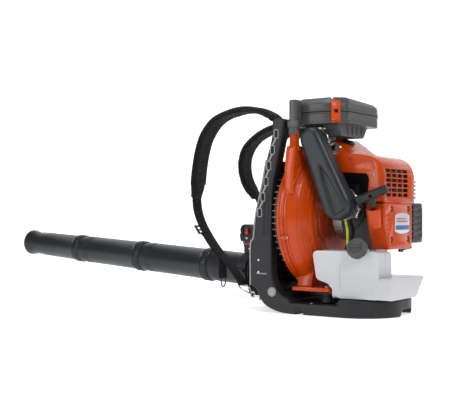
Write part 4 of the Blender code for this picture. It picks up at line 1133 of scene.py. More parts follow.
def cover_shell():
    low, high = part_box("engine_cover")
    x0, x1 = low.x, high.x
    rear = low.y
    side = [(rear, 0.2735), (rear, 0.345), (-0.118, 0.368), (-0.096, 0.384), (-0.020, 0.396), (0.010, 0.420),
            (0.034, 0.436), (0.044, 0.436), (0.044, 0.395), (-0.008, 0.340), (-0.030, 0.330), (-0.052, 0.300),
            (-0.056, 0.2735)]
    wall = 0.003
    rounds = (0.002, 0.008, 0.010, 0.012, 0.014, 0.010, 0.004, 0.002, 0.004, 0.006, 0.008, 0.004, 0.002)
    base = slab(fillet(side, rounds, 4), "X", x0, x1)
    inner = fillet([(rear + wall, 0.26), (rear + wall, 0.344), (-0.116, 0.365), (-0.095, 0.381),
                    (-0.019, 0.392), (0.012, 0.417), (0.034, 0.432), (0.060, 0.432), (0.060, 0.26)], 0.006,
                   2)
    cuts = [slab(inner, "X", x0 + wall, x1 - wall), bar((-0.11, -0.004, 0.392), (-0.058, 0.08, 0.45))]
    for i in range(4):
        for k in range(6):
            grow = 0.0020 * (k % 2)
            cuts.append(bar((-0.078 + 0.0310 * i - grow, rear - 0.02, 0.2875 + 0.0116 * k),
                            (-0.0515 + 0.0310 * i + grow * 0.4, rear + 0.014, 0.2963 + 0.0116 * k),
                            0.0012, 2))
    cuts.append(slab([(x0 - 0.004, rear - 0.004), (x0 - 0.004, rear + 0.0045), (x0 + 0.0045, rear - 0.004)],
                     "Z", 0.26, 0.44))
    opening = fillet([(-0.080, 0.262), (-0.088, 0.330), (-0.082, 0.343), (0.010, 0.349), (0.010, 0.262)],
                     0.006, 3)
    cuts.append(slab(opening, "X", x0 - 0.01, x0 + 0.030))
    cuts.append(slab(fillet([(-0.104, 0.350), (-0.030, 0.362), (-0.030, 0.380), (-0.098, 0.372)], 0.005),
                     "X", x0 - 0.01, x0 + 0.0014))
    cuts.append(slab(fillet([(-0.060, -0.088), (0.048, -0.088), (0.040, -0.030), (-0.052, -0.030)], 0.008),
                     "Z", 0.3905, 0.45))
    shell("cover_moulding", "orange_shell", base, [], cuts, 0.0022, 3,
          nodes=["engine_cover"])
    # Painted shade: near-black sheets set just behind the rear vents and the side opening, where inside the
    # cover there is only shade.
    vent_shade_sheet = bar((x0 + 0.006, rear + 0.0065, 0.281), (x1 - 0.006, rear + 0.0075, 0.358))
    opening_shade_sheet = bar((x0 + 0.030, -0.118, 0.2930), (x0 + 0.032, 0.006, 0.356), 0.0004, 1)
    scoop = dome((0.006, 0.020, 0.424), 0.016, (1.5, 0.85, 0.55), 36)
    lip = [(0.006 + 0.0235 * math.cos(a), 0.019 + 0.0125 * math.sin(a), 0.4285 + 0.0068 * math.sin(a))
           for a in turns(40)]
    piece("cover_dark", [("recess_black", joined([vent_shade_sheet, opening_shade_sheet])),
                         ("black_plastic", joined([scoop, cable(lip, 0.0016, True, 10)]))],
          slot="black_plastic")
    skirt = bar((x0 - 0.0010, rear - 0.0010, 0.2733), (x1 + 0.0005, rear + 0.020, 0.2768), 0.0010, 2)
    flange = bar((x0 - 0.0010, rear + 0.004, 0.2733), (x0 + 0.004, -0.084, 0.2768), 0.0010, 2)
    plain("cover_skirt", "orange_shell", joined([skirt, flange]))
    steel = [screw((x, rear - 0.0001, 0.2815), (0, -1, 0), 0.0034, 0.002) for x in (-0.082, 0.070)]
    steel += [screw((x0 - 0.0001, -0.100, 0.340), (-1, 0, 0), 0.0042, 0.0024)]
    plain("cover_screws", "dull_steel", joined(steel))


def louvre():
    low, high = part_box("side_louvre")
    outline = [(-0.118, 0.283), (-0.118, 0.330), (-0.100, 0.362), (-0.070, 0.378), (-0.020, 0.378),
               (-0.010, 0.283)]
    base = slab(fillet(outline, 0.005, 4), "X", low.x, high.x)
    cuts = [bar((0.084, -0.130, 0.2895 + 0.0098 * k), (0.120, -0.018 - 0.001 * k, 0.2945 + 0.0098 * k),
                0.001, 2) for k in range(8)]
    shell("louvre_screen", "filter_plastic", base, [], cuts, 0.0012, 2,
          nodes=["side_louvre"])
    # Painted shade: a near-black sheet just behind the louvre slots.
    inside = slab([(-0.110, 0.286), (-0.110, 0.328), (-0.094, 0.356), (-0.068, 0.372), (-0.026, 0.372),
                   (-0.018, 0.286)], "X", 0.0840, 0.0850)
    plain("louvre_dark", "recess_black", inside, slot="black_plastic")


def starter_shell():
    low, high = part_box("starter_cover")
    rear, x0, x1, z0, z1 = low.y, -0.088, high.x, low.z, 0.2727
    outline = [(x0 + 0.026, z0), (x1 - 0.008, z0), (x1, z0 + 0.008), (x1, z1), (x0, z1), (x0 - 0.002, 0.235)]
    base = slab(fillet(outline, 0.005, 4), "Y", rear, -0.0805, 0.003, 3)
    way = PULL
    guide_base = Vector((-0.098, -0.108, 0.215))
    guide = rod(guide_base, guide_base + 0.045 * way, 0.014, 0.017, 48)
    cuts = [slab([(x0 + 0.0285, z0 + 0.003), (x1 - 0.003, z0 + 0.003), (x1 - 0.003, z1 - 0.003),
                  (x0 + 0.003, z1 - 0.003), (x0 + 0.003, 0.236)], "Y", rear + 0.006, -0.07),
            rod(guide_base - 0.03 * way, guide_base + 0.07 * way, 0.0045, None, 24),
            rod(guide_base + 0.041 * way, guide_base + 0.05 * way, 0.0085, 0.0155, 40)]
    recesses = []
    for x in (-0.048, 0.044):
        for z in (0.184, 0.258):
            cuts.append(rod((x, rear - 0.01, z), (x, rear + 0.0050, z), 0.0092, 0.0080, 32))
            recesses.append((x, z))
    for k in range(5):
        z = 0.197 + 0.0115 * k
        cuts.append(bar((-0.0800, rear - 0.01, z), (-0.0620, rear + 0.0012, z + 0.0050), 0.0012, 2))
    shell("starter_moulding", "orange_shell", base, [guide], cuts, 0.0012, 2,
          nodes=["starter_cover"])
    # Painted shade: near-black discs on the floor of each screw well and a near-black ring in the rope
    # guide's counterbore.
    dark = [rod((x, rear + 0.0038, z), (x, rear + 0.0052, z), 0.0082, None, 28) for x, z in recesses]
    dark.append(ring(0.0046, 0.0078, guide_base + 0.0405 * way, way, 0.0012, 0, 32))
    steel = [screw((x, rear + 0.0038, z), (0, -1, 0), 0.0036, 0.0016) for x, z in recesses]
    piece("starter_recesses", [("recess_black", joined(dark)), ("dull_steel", joined(steel))],
          slot="black_plastic")
    nameplate(rear)
    grip(guide_base + 0.0455 * way)


def nameplate(rear):
    """A pale barrel-shaped plate with a plain band and border, and no lettering."""
    centre, half_x, half_z = (0.008, 0.223), 0.040, 0.0255
    bulge = [(centre[0] - half_x, centre[1] - 0.019), (centre[0] - half_x, centre[1] + 0.019)]
    top = [(centre[0] + half_x * math.sin(math.radians(a)) * 1.15, centre[1] + half_z - 0.0065
            + 0.0065 * math.cos(math.radians(a * 1.5))) for a in range(-54, 55, 9)]
    low = [(x, 2 * centre[1] - z) for x, z in reversed(top)]
    outline = fillet(bulge + top + [(centre[0] + half_x, centre[1] + 0.019),
                                    (centre[0] + half_x, centre[1] - 0.019)] + low, 0.002, 2)
    plate = slab(outline, "Y", rear - 0.0012, rear + 0.001)
    band = bar((centre[0] - half_x + 0.003, rear - 0.0016, centre[1] - 0.016),
               (centre[0] + half_x - 0.003, rear, centre[1] - 0.005), 0.0003, 1)
    bars = [bar((centre[0] - 0.031, rear - 0.0015, centre[1] + 0.003 + 0.0062 * k),
                (centre[0] + 0.030 - 0.010 * k, rear, centre[1] + 0.0062 + 0.0062 * k), 0.0002, 1)
            for k in range(2)]
    piece("nameplate", [("label_foil", plate), ("label_blue", band), ("orange_shell", joined(bars))],
          slot="filter_plastic", soften=0.0004)


def grip(mouth):
    """T-shaped rubber handle with a bored middle and finger waists."""
    heart = mouth + 0.034 * PULL
    way = Vector((0, -0.94, 0.34)).normalized()
    stem = lathe([(0, 0.0012), (0.0065, 0.0012), (0.0078, 0.004), (0.0066, 0.012), (0.0080, 0.026),
                  (0, 0.030)], mouth, PULL, 40)
    profile = [(0, -0.0420), (0.0085, -0.0418), (0.0112, -0.0385), (0.0115, -0.033), (0.0102, -0.020),
               (0.0112, -0.008), (0.0115, 0), (0.0112, 0.008), (0.0102, 0.020), (0.0115, 0.033),
               (0.0112, 0.0385), (0.0085, 0.0418), (0, 0.0420)]
    body = lathe([tuple(p) for p in fillet(profile, 0.003, 3, False)], heart, way, 48)
    side = way.cross(PULL).normalized()
    eye = rod(heart - side * 0.02, heart + side * 0.02, 0.0048, None, 28)
    grooves = [ring(0.0106, 0.0125, heart + way * at - way * 0.0005, way, 0.0010, 0, 48)
               for at in (-0.030, -0.026, 0.026, 0.030)]
    plain("grip_rubber", "frame_plastic", joined([body, stem]), body="starter_grip", nodes=["starter_grip"],
          cuts=[eye] + grooves, soften=0.0004, steps=1)
    start = mouth - 0.040 * PULL
    rope = cable([start + PULL * 0.0403 * i / 24 for i in range(25)], 0.0018, False, 14)
    item = piece("pull_rope", [("webbing_fabric", rope)], body=None, slot="webbing_fabric",
                 nodes=["starter_rope"])
    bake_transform(item)


def guard():
    low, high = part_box("muffler_guard")
    base = bar(low, high, 0.006, 4)
    cuts = [bar((0.060, low.y + 0.005, low.z + 0.005), (high.x - 0.005, 0.010, high.z - 0.0048))]
    for k in range(8):
        z = 0.183 + 0.0108 * k
        cuts.append(bar((0.0735, low.y - 0.01, z), (0.0800, low.y + 0.02, z + 0.0062), 0.0006, 1))
    for k in range(6):
        cuts.append(bar((0.130, -0.107 + 0.0165 * k, 0.182), (0.150, -0.0965 + 0.0165 * k, 0.264), 0.002, 2))
    for k in range(5):
        cuts.append(bar((0.089, low.y - 0.01, 0.190 + 0.0155 * k),
                        (0.130, low.y + 0.0014, 0.1965 + 0.0155 * k), 0.002, 2))
    shell("guard_moulding", "black_plastic", base, [], cuts, 0.0012, 2,
          nodes=["muffler_guard"])
    stub = lathe([(0.010, 0), (0.0125, 0.001), (0.0125, 0.016), (0.0105, 0.018), (0.0085, 0.018),
                  (0.0085, 0)], (0.088, -0.100, 0.1735), (0.1, -0.2, -1), 32)
    bracket = slab(fillet([(0.055, 0.150), (0.075, 0.150), (0.082, 0.172), (0.060, 0.172)], 0.003), "Y",
                   -0.100, -0.094)
    steel = [screw((0.128, low.y - 0.0001, z), (0, -1, 0), 0.004, 0.0022) for z in (0.181, 0.264)]
    piece("guard_fittings", [("filter_plastic", stub), ("frame_plastic", bracket),
                             ("dull_steel", joined(steel))], slot="frame_plastic")


def engine_inside():
    """Small things around the cylinder and the carburettor that the shells leave in view."""
    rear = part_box("carburetor")[0].y
    steel = [screw((-0.068, rear - 0.0002, z), (0, -1, 0), 0.0030, 0.002) for z in (0.251, 0.287)]
    arm = bar((-0.074, -0.0535, 0.266), (-0.062, -0.0490, 0.270), 0.0008, 2)
    spring = [(-0.052 + 0.0035 * math.cos(a), -0.0515, 0.262 + 0.0035 * math.sin(a) + 0.00027273 * a)
              for a in (0.77 * i for i in range(40))]
    piece("carburettor_fittings", [("bright_steel", joined(steel + [arm])),
                                   ("dull_steel", cable(spring, 0.0005, False, 8))], slot="bright_steel")
    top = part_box("spark_plug")[1]
    lead = smooth_path([(0.0, CRANK_Y, top.z - 0.004), (0.004, CRANK_Y - 0.004, 0.3795),
                        (0.018, CRANK_Y - 0.012, 0.376), (0.034, CRANK_Y - 0.012, 0.360),
                        (0.048, CRANK_Y + 0.004, 0.330)], 5)
    boot = lathe([(0, -0.004), (0.0072, -0.004), (0.0085, 0.002), (0.0080, 0.010), (0, 0.0115)],
                 (0, CRANK_Y, 0.3662), (0, 0, 1), 28)
    # Painted shade: a flat black sheet in the gap beside the engine, where there is only shade.
    gap_shade = slab(fillet([(-0.079, 0.160), (-0.079, 0.244), (-0.0035, 0.244), (-0.0035, 0.200),
                          (-0.012, 0.180), (-0.030, 0.160)], 0.006), "X", -0.0640, -0.0622)
    plain("side_shield", "black_plastic", gap_shade)
    plain("plug_lead", "black_rubber", joined([boot, cable(lead, 0.0030)]), slot="black_plastic")


# ---------------------------------------------------------------- air and fuel

HOSE_TOP = (0.0445, 0.427)
HOSE_FOOT = (-0.026, 0.270)
SPIGOT_X = -0.0895
FILTER_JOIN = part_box("filter_cover")[0].z
FILTER_PLAN = [(-0.120, 0.104), (-0.120, 0.006), (-0.098, -0.018), (-0.086, -0.030), (0.076, -0.030),
               (0.094, -0.010), (0.094, 0.092), (0.080, 0.107), (-0.116, 0.107)]
FILTER_ROUNDS = (0.004, 0.016, 0.008, 0.010, 0.016, 0.016, 0.014, 0.010, 0.006)
FILTER_EDGE = fillet(FILTER_PLAN, FILTER_ROUNDS, 5)
FILTER_MIDDLE = (-0.013, 0.038)


def hose_elbow():
    """Wide moulded elbow: a rounded capsule with a sunk lower face and two ports."""
    (y0, z0), (y1, z1) = HOSE_TOP, HOSE_FOOT
    lean = math.degrees(math.atan2(z0 - z1, y0 - y1))
    outline = arc(HOSE_TOP, 0.0295, lean - 90, lean + 90, 20)
    outline += arc(HOSE_FOOT, 0.039, lean + 90, lean + 270, 26)
    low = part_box("intake_hose")[0]
    base = slab(outline, "X", low.x, -0.106, 0.0150, 6)
    ports = [rod((-0.118, y0, z0), (SPIGOT_X - 0.0003, y0, z0), 0.0215, None, 48),
             rod((-0.120, y1, z1), (-0.0915, y1, z1), 0.0325, None, 56)]
    way = Vector((0, y0 - y1, z0 - z1)).normalized()
    side = Vector((0, -way.z, way.y))
    foot = Vector((0, y1, z1))

    def at(along, across):
        place = foot + way * along + side * across
        return (place.y, place.z)

    valley = slab(fillet([at(-0.026, -0.014), at(-0.022, 0.022), at(0.060, 0.012), at(0.108, 0.001),
                          at(0.060, -0.007)], 0.006, 4), "X", low.x - 0.01, low.x + 0.0060)
    item = shell("intake_elbow", "hose_rubber", base, ports, [valley], 0.0, nodes=["intake_hose"], sharp=60)
    melt(item, 0.0018, 7)
    middle = Vector((0, (y0 + y1) / 2, (z0 + z1) / 2))
    parting = []
    for y, z in outline:
        out = (Vector((0, y, z)) - middle).normalized()
        parting.append(Vector((-0.1268, y, z)) + out * 0.0002)
    plain("elbow_ridges", "hose_rubber", cable(parting, 0.0009, True, 8))


def worm_clamp(name, node, centre, inner, outer, width, lug_angle):
    """Slotted steel band with its tail, and the housing and slotted screw that tighten it."""
    band = ring(inner, outer - 0.0010, centre, (1, 0, 0), width, 0.0004, 72)
    slots = []
    for a in turns(int(math.tau * outer / 0.0052)):
        mark = bar((0.0016, -0.0007, -0.0003), (width - 0.0016, 0.0007, 0.0004))
        turn = (Matrix.Translation(centre) @ Matrix.Rotation(a, 4, "X")
                @ Matrix.Translation((0, 0, outer - 0.0010)))
        slots.append(placed(mark, turn))
    housing = bar((-0.0008, -0.0075, -0.0022), (width + 0.0008, 0.0075, 0.0052), 0.0012, 3)
    bolt = rod((width / 2, -0.0115, 0.0020), (width / 2, 0.0105, 0.0020), 0.0029, None, 24, 0.0005)
    head = rod((width / 2, -0.0150, 0.0020), (width / 2, -0.0112, 0.0020), 0.0040, None, 6, 0.0006)
    tail = bar((0.0004, 0.0080, -0.0004), (width - 0.0004, 0.0150, 0.0004), 0.0002, 1)
    place = (Matrix.Translation(centre) @ Matrix.Rotation(math.radians(lug_angle), 4, "X")
             @ Matrix.Translation((0, 0, outer)))
    lug = placed(joined([housing, bolt, head, tail]), place)
    piece(name, [("bright_steel", joined([band, lug])), ("dull_steel", joined(slots))],
          slot="bright_steel", nodes=[node])


def hose_clamps():
    (y0, z0), (y1, z1) = HOSE_TOP, HOSE_FOOT
    worm_clamp("clamp_upper", "hose_clamp_upper", (-0.1000, y0, z0), 0.0218, 0.0275, 0.0090, 4)
    worm_clamp("clamp_lower", "hose_clamp_lower", (-0.1030, y1, z1), 0.0328, 0.0398, 0.0105, 118)


def tank():
    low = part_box("fuel_tank")[0]
    upper = slab(fillet([(-0.132, 0.045), (-0.132, 0.150), (-0.126, 0.157), (0.036, 0.157), (0.044, 0.150),
                         (0.034, 0.088), (0.000, 0.078), (-0.026, 0.0445)], 0.008, 4), "X", low.x, -0.060)
    lower = slab(fillet([(low.x, 0.0445), (0.012, 0.0445), (0.058, 0.094), (low.x, 0.096)], 0.008, 4), "Y",
                 -0.163, -0.010)
    out = Vector(JOINTS["fuel_cap_turn"]["axis"])
    seat = Vector((low.x + 0.009, -0.082, 0.156))
    neck = rod(seat - 0.012 * out, seat + 0.012 * out, 0.018, None, 48)
    dents = [slab(fillet([(-0.120, 0.058), (-0.120, 0.128), (-0.030, 0.128), (-0.030, 0.070),
                          (-0.040, 0.058)], 0.008), "X", low.x - 0.01, low.x + 0.0012)]
    item = shell("tank_shell", "tank_plastic", upper, [lower, neck], dents, 0.0,
                 nodes=["fuel_tank"], sharp=60)
    soften_edges(item, 0.0055, 5, 40)
    item.data.shade_smooth()
    item.data.set_sharp_from_angle(angle=math.radians(60))
    shoulder = fillet([(-0.132, 0.046), (-0.132, 0.150), (-0.126, 0.157), (0.036, 0.157), (0.044, 0.150),
                       (0.034, 0.088)], 0.008, 4, False)
    seam = [(-0.0905, y, z) for y, z in shoulder]
    plain("tank_seam", "tank_plastic", cable(seam, 0.0009, False, 8))
    thread = [ring(0.0172, 0.0190 - 0.0003 * k, seat + (0.0072 + 0.0022 * k) * out, out, 0.0011, 0.0003, 48)
              for k in range(2)]
    plain("neck_thread", "tank_plastic", joined(thread))
    cap_piece(seat + 0.0123 * out, out)
    lines()


def cap_piece(base, out):
    """Screw cap with grip notches, a raised bar across it and a sunk ring."""
    body = lathe([tuple(p) for p in fillet([(0, 0.0175), (0.0150, 0.0175), (0.0165, 0.0200), (0.0210, 0.0200),
                                            (0.0245, 0.0160), (0.0245, 0), (0, 0)], 0.0014, 3, False)],
                 base, out, 72)
    notches = []
    place = Matrix.Translation(base) @ turn_to(out)
    for a in turns(18):
        notches.append(placed(rod((0.0255, 0, 0.003), (0.0255, 0, 0.024), 0.0020, None, 12),
                              place @ Matrix.Rotation(a, 4, "Z")))
    handle = placed(bar((-0.0145, -0.0026, 0.0165), (0.0145, 0.0026, 0.0205), 0.0014, 3), place)
    piece("cap_grip", [("filter_plastic", body)], body="fuel_cap", slot="frame_plastic", nodes=["fuel_cap"],
          cuts=notches, soften=0.0005, steps=1)
    plain("cap_bar", "filter_plastic", handle, body="fuel_cap", slot="frame_plastic")


FUEL_ROUTE = [(-0.070, -0.020, 0.1576), (-0.072, -0.020, 0.178), (-0.077, -0.022, 0.205),
              (-0.074, -0.016, 0.230), (-0.0735, -0.014, 0.2455)]


def free_line(name, path, radius, finish, slot, body=MACHINE, nodes=()):
    """A hose or cable between two fixed ends."""
    item = plain(name, finish, cable(path, radius, False, 16), body=body, slot=slot, nodes=nodes, sharp=60)
    return item


def lines():
    """The fuel pipe, the thin pipe beside it, and the grommets and clips that hold them."""
    route = smooth_path(FUEL_ROUTE, 8)
    free_line("fuel_pipe", route, 0.0033, "fuel_line", "fuel_line", nodes=["fuel_hose"])
    returns = smooth_path([(point[0] + 0.009, point[1] - 0.008, point[2]) for point in FUEL_ROUTE[:-1]], 8)
    free_line("return_pipe", returns, 0.0024, "black_rubber", "black_plastic")
    collars = [ring(0.0030, 0.0052, Vector(FUEL_ROUTE[0]) - Vector((0, 0, 0.0006)), (0, 0, 1), 0.0050,
                    0.0006, 32), ring(0.0022, 0.0044, (returns[0].x, returns[0].y, returns[0].z - 0.0006),
                                      (0, 0, 1), 0.0045, 0.0006, 28)]
    loops = []
    for height in (0.166, 0.238):
        at = min(route, key=lambda point: abs(point.z - height))
        loops.append(ring(0.0033, 0.0042, at - Vector((0, 0, 0.001)), (0, 0, 1), 0.0020, 0.0003, 24))
    piece("pipe_grommets", [("black_rubber", joined(collars)), ("bright_steel", joined(loops))],
          slot="black_plastic")


def shrunk(outline, scale):
    """A filter outline drawn in towards its middle."""
    x, y = FILTER_MIDDLE
    return [(x + (u - x) * scale, y + (v - y) * scale) for u, v in outline]


def filter_parts():
    y, z = HOSE_TOP
    inset = shrunk(FILTER_PLAN, 0.95)
    base = slab(FILTER_EDGE, "Z", 0.466, FILTER_JOIN - 0.0003)
    funnel = slab(fillet([(-0.085, 0.4365), (0.030, 0.4365), (0.055, 0.470), (-0.095, 0.470)], 0.006), "Y",
                  -0.010, 0.085)
    outlet = rod((SPIGOT_X, y, z), (-0.050, y, z + 0.010), 0.0205, None, 48)
    bracket = bar((-0.152, 0.074, 0.4583), (-0.110, 0.103, 0.474))
    cuts = [bar((-0.12, 0.0, 0.39), (SPIGOT_X, 0.0738, 0.4655)), slab(fillet(inset, 0.006), "Z", 0.472, 0.55),
            rod((-0.110, y, z), (-0.050, y, z + 0.012), 0.016, None, 40),
            bar((-0.060, 0.02, 0.440), (0.020, 0.070, 0.48))]
    for k in range(4):
        x = -0.066 + 0.024 * k
        cuts.append(bar((x, -0.0115, 0.4420), (x + 0.016, -0.0080, 0.4640), 0.0015, 2))
    cuts.append(bar((-0.145, 0.0725, 0.4615), (-0.125, 0.0760, 0.4710), 0.001, 1))
    shell("filter_tray", "filter_plastic", base, [funnel, outlet, bracket], cuts, 0.0020, 3,
          nodes=["filter_base"])
    lid()
    strap_x = -0.1505
    bracket_parts = [bar((strap_x, 0.076, 0.440), (strap_x + 0.0035, 0.101, 0.4585), 0.0012, 2),
                     bar((-0.1515, 0.0785, 0.458), (-0.1235, 0.1005, 0.526), 0.0045, 4),
                     rod((strap_x + 0.001, 0.0885, 0.449), (strap_x - 0.0020, 0.0885, 0.449), 0.0050, None,
                         24, 0.001)]
    lip = [(u, v, FILTER_JOIN - 0.0034) for u, v in FILTER_EDGE]
    plain("filter_lip", "filter_plastic", joined([cable(lip, 0.0019, True, 10)] + bracket_parts))
    seal = [(u * 0.999, v * 0.999, FILTER_JOIN - 0.0002) for u, v in FILTER_EDGE]
    plain("filter_seal", "recess_black", cable(seal, 0.0009, True, 8), slot="black_plastic")
    pleats()
    clips()


def lid():
    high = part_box("filter_cover")[1]
    inset = shrunk(FILTER_PLAN, 0.90)
    rings = []
    for height, scale in ((FILTER_JOIN, 0.994), (FILTER_JOIN + 0.0012, 1.0), (0.5130, 1.0), (0.5152, 0.993),
                          (0.5285, 0.850), (0.5312, 0.815), (high.z, 0.775)):
        rings.append([Vector((u, v, height)) for u, v in shrunk(FILTER_EDGE, scale)])
    base = loft(rings)
    slope = slab([(-0.072, high.z + 0.004), (0.120, high.z + 0.004), (0.120, high.z - 0.012),
                  (-0.072, high.z - 0.0015)], "Y", -0.06, 0.13)
    gap_way = Matrix.Translation((-0.0945, 0.010, 0)) @ Matrix.Rotation(math.radians(-52), 4, "Z")
    notch = placed(bar((-0.0030, -0.075, 0.5105), (0.0030, 0.045, 0.540), 0.0014, 2), gap_way)
    cuts = [slab(fillet(inset, 0.006), "Z", 0.48, 0.5130), slope, notch]
    shell("filter_lid", "filter_plastic", base, [], cuts, 0.0010, 2, body="filter_cover",
          nodes=["filter_cover"], sharp=32)
    ribs = [bar((0.010 + 0.014 * k, 0.000, high.z - 0.0105), (0.014 + 0.014 * k, 0.076, high.z - 0.0050),
                0.0012, 2) for k in range(4)]
    band = [(u, v, FILTER_JOIN + 0.0030) for u, v in FILTER_EDGE]
    plain("lid_ribs", "filter_plastic", joined(ribs + [cable(band, 0.0017, True, 10)]), body="filter_cover")


def pleats():
    """The filter element: foam block with pleated paper standing along it."""
    low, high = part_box("filter_element")
    count = 42
    folds = []
    for k in range(count):
        x = low.x + 0.003 + (high.x - low.x - 0.006) * (k + 0.5) / count
        folds.append(bar((x - 0.0006, low.y + 0.003, low.z + 0.004),
                         (x + 0.0006, high.y - 0.003, high.z - 0.0004), 0.0004, 1))
    block = bar(low, (high.x, high.y, high.z - 0.006), 0.003, 3)
    plain("element_pleats", "filter_foam", joined([block] + folds), nodes=["filter_element"])


def clips():
    profile = [(0.0000, 0.4680), (0.0004, 0.5200), (0.0022, 0.5222), (0.0048, 0.5170), (0.0070, 0.5060),
               (0.0076, 0.4900), (0.0066, 0.4760), (0.0040, 0.4680)]
    for side in ("left", "right"):
        shape = slab([tuple(p) for p in fillet(profile, 0.0012, 2)], "Y", -0.0112, 0.0112, 0.0010, 2)
        window = bar((-0.01, -0.0055, 0.490), (0.02, 0.0055, 0.4990), 0.0012, 2)
        if side == "left":
            place = Matrix.Translation((-0.1100, -0.0070, 0)) @ Matrix.Rotation(math.radians(225), 4, "Z")
        else:
            place = Matrix.Translation((0.0950, 0.0220, 0))
        finger = bar((0.0030, -0.0085, 0.4715), (0.0085, 0.0085, 0.4740), 0.0009, 2)
        pin = rod((0.0020, -0.0118, 0.518), (0.0020, 0.0118, 0.518), 0.0016, None, 16)
        piece("clip_" + side + "_strap", [("clip_orange", placed(joined([shape, finger]), place)),
                                          ("dull_steel", placed(pin, place))], body="clip_" + side,
              slot="clip_orange", nodes=["filter_clip_" + side], cuts=[placed(window, place)])


# ---------------------------------------------------------------- blow tube and control handle

def tube_lathe(profile, y0, steps=96):
    return lathe(profile, on_tube(y0), TUBE_WAY, steps)


def elbow():
    start = Vector((0.1530, 0.0865, 0.0955))
    out = Vector((1, 0, -0.15)).normalized()
    end = on_tube(0.1495)
    turn = [start + 0.006 * out, (0.178, 0.090, 0.086), (0.194, 0.106, 0.070), end - 0.012 * TUBE_WAY]
    path = [start] + smooth_path(turn, 8) + [end]
    outer = sweep(path, circle(1.0, 56), None, False, lambda share: 0.034 + 0.010 * share)
    ahead = [path[0] - out * 0.002] + path[1:-1] + [path[-1] + TUBE_WAY * 0.002]
    inner = sweep(ahead, circle(1.0, 48), None, False, lambda share: 0.030 + 0.010 * share)
    shell("elbow_skin", "tube_plastic", outer, [], [inner], 0.0,
                 nodes=["outlet_elbow"], sharp=45)
    lips = [ring(0.0335, 0.0368, start, out, 0.0055, 0.0010, 64),
            ring(0.0435, 0.0470, end - 0.0060 * TUBE_WAY, TUBE_WAY, 0.0055, 0.0010, 72)]
    plain("elbow_lips", "tube_plastic", joined(lips))


def bellows_folds(length, low, high, wall, folds):
    outer = [(high if k % 2 else low, length * (1 - k / (2 * folds))) for k in range(2 * folds + 1)]
    rounded = [tuple(p) for p in fillet(outer, 0.0016, 3, False)]
    inner = [(u - wall, v) for u, v in reversed(rounded)]
    return rounded + inner


def bellows():
    for name, node, y0, length, bodies in (
            ("rear_folds", "bellows_rear", 0.1503, 0.0925, (MACHINE, "bellows_ring")),
            ("front_folds", "bellows_front", 0.2655, 0.0930, ("bellows_ring", "blow_tube"))):
        shape = tube_lathe(bellows_folds(length, 0.0428, 0.0482, 0.0030, 7), y0, 80)
        item = piece(name, [("hose_rubber", shape)], body=None, slot="hose_rubber", nodes=[node], sharp=60)
        tuple(on_tube(y0 + 0.004))
        tuple(on_tube(y0 + length - 0.004))
        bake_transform(item)
    band = tube_lathe([tuple(p) for p in fillet([(0.0495, 0.021), (0.0495, 0), (0.0400, 0), (0.0400, 0.021)],
                                                0.0012, 3)], 0.2435)
    rings = [ring(0.0490, 0.0505, on_tube(0.2435 + at), TUBE_WAY, 0.0022, 0.0006, 80)
             for at in (0.003, 0.0155)]
    plain("ring_band", "tube_plastic", joined([band] + rings), body="bellows_ring",
          nodes=["bellows_ring"])
    cuff = ring(0.0425, 0.0462, on_tube(0.1492), TUBE_WAY, 0.0060, 0.0010, 72)
    plain("bellows_cuff", "black_rubber", cuff, slot="black_plastic")


TUBE_JOINTS = (0.360, 0.588, 0.865, 1.141, 1.407)
TUBE_RADII = (0.0480, 0.0465, 0.0445, 0.0415)
TUBE_WALL = 0.003
HANDLE_Y = 0.455
# how far the nozzle's mouth stands out from its tube, and how far back from the end
NOZZLE_MOUTH = [(0.0040, 0.0), (0.0046, 0.0025), (0.0038, 0.012), (-0.0022, 0.030), (-0.0012, 0.060),
                (0.0006, 0.100)]


def tube_runs():
    """The four tubes, each with a lugged collar over its joint; the last one flares at its mouth."""
    for node, start, stop, r in zip(TUBE_NODES, TUBE_JOINTS, TUBE_JOINTS[1:], TUBE_RADII):
        length = (stop - start) / TUBE_WAY.y - 0.0003
        last = node == "nozzle"
        end = r - (0.003 if last else 0.0015)
        collar = r + 0.0030
        profile = [(end, length), (r, 0.034), (collar, 0.028), (collar, 0.0015), (collar - 0.0012, 0),
                   (r - TUBE_WALL, 0), (r - TUBE_WALL, 0.030), (end - TUBE_WALL, length)]
        if last:
            outer = [(end + grow, length - back) for grow, back in NOZZLE_MOUTH]
            inner = [(end + grow - TUBE_WALL, length - back) for grow, back in reversed(NOZZLE_MOUTH)]
            profile = outer + profile[1:-1] + inner
        place = Matrix.Translation(on_tube(start)) @ turn_to(TUBE_WAY)
        parts = [tube_lathe(profile, start, 112)] + collar_details(start, collar, place)
        if not last:
            parts += [ring(end - 0.0005, end + 0.0011, on_tube(start) + at * TUBE_WAY, TUBE_WAY, 0.0020,
                           0.0006, 80) for at in (length - 0.030, length - 0.042)]
        parts += [parting_line(degrees, r, end, length, place) for degrees in (90, 270)]
        plain("run_" + node, "tube_plastic", joined(parts), body="blow_tube", nodes=[node], sharp=40)


def collar_details(start, collar, place):
    """Two hoops, a row of grip fins and two bayonet lugs."""
    parts = [ring(collar - 0.0006, collar + 0.0010, on_tube(start) + at * TUBE_WAY, TUBE_WAY, 0.0022,
                  0.0007, 96) for at in (0.0055, 0.0235)]
    for a in turns(20):
        fin = bar((collar - 0.0005, -0.0012, 0.0085), (collar + 0.0008, 0.0012, 0.0225), 0.0005, 2)
        parts.append(placed(fin, place @ Matrix.Rotation(a, 4, "Z")))
    for degrees in (35, 215):
        lug = slab(fillet([(collar - 0.001, 0.003), (collar + 0.0040, 0.006), (collar + 0.0046, 0.020),
                           (collar - 0.001, 0.032)], 0.0018, 3), "Y", -0.008, 0.008, 0.0012, 2)
        parts.append(placed(lug, place @ Matrix.Rotation(math.radians(degrees), 4, "Z")))
    return parts


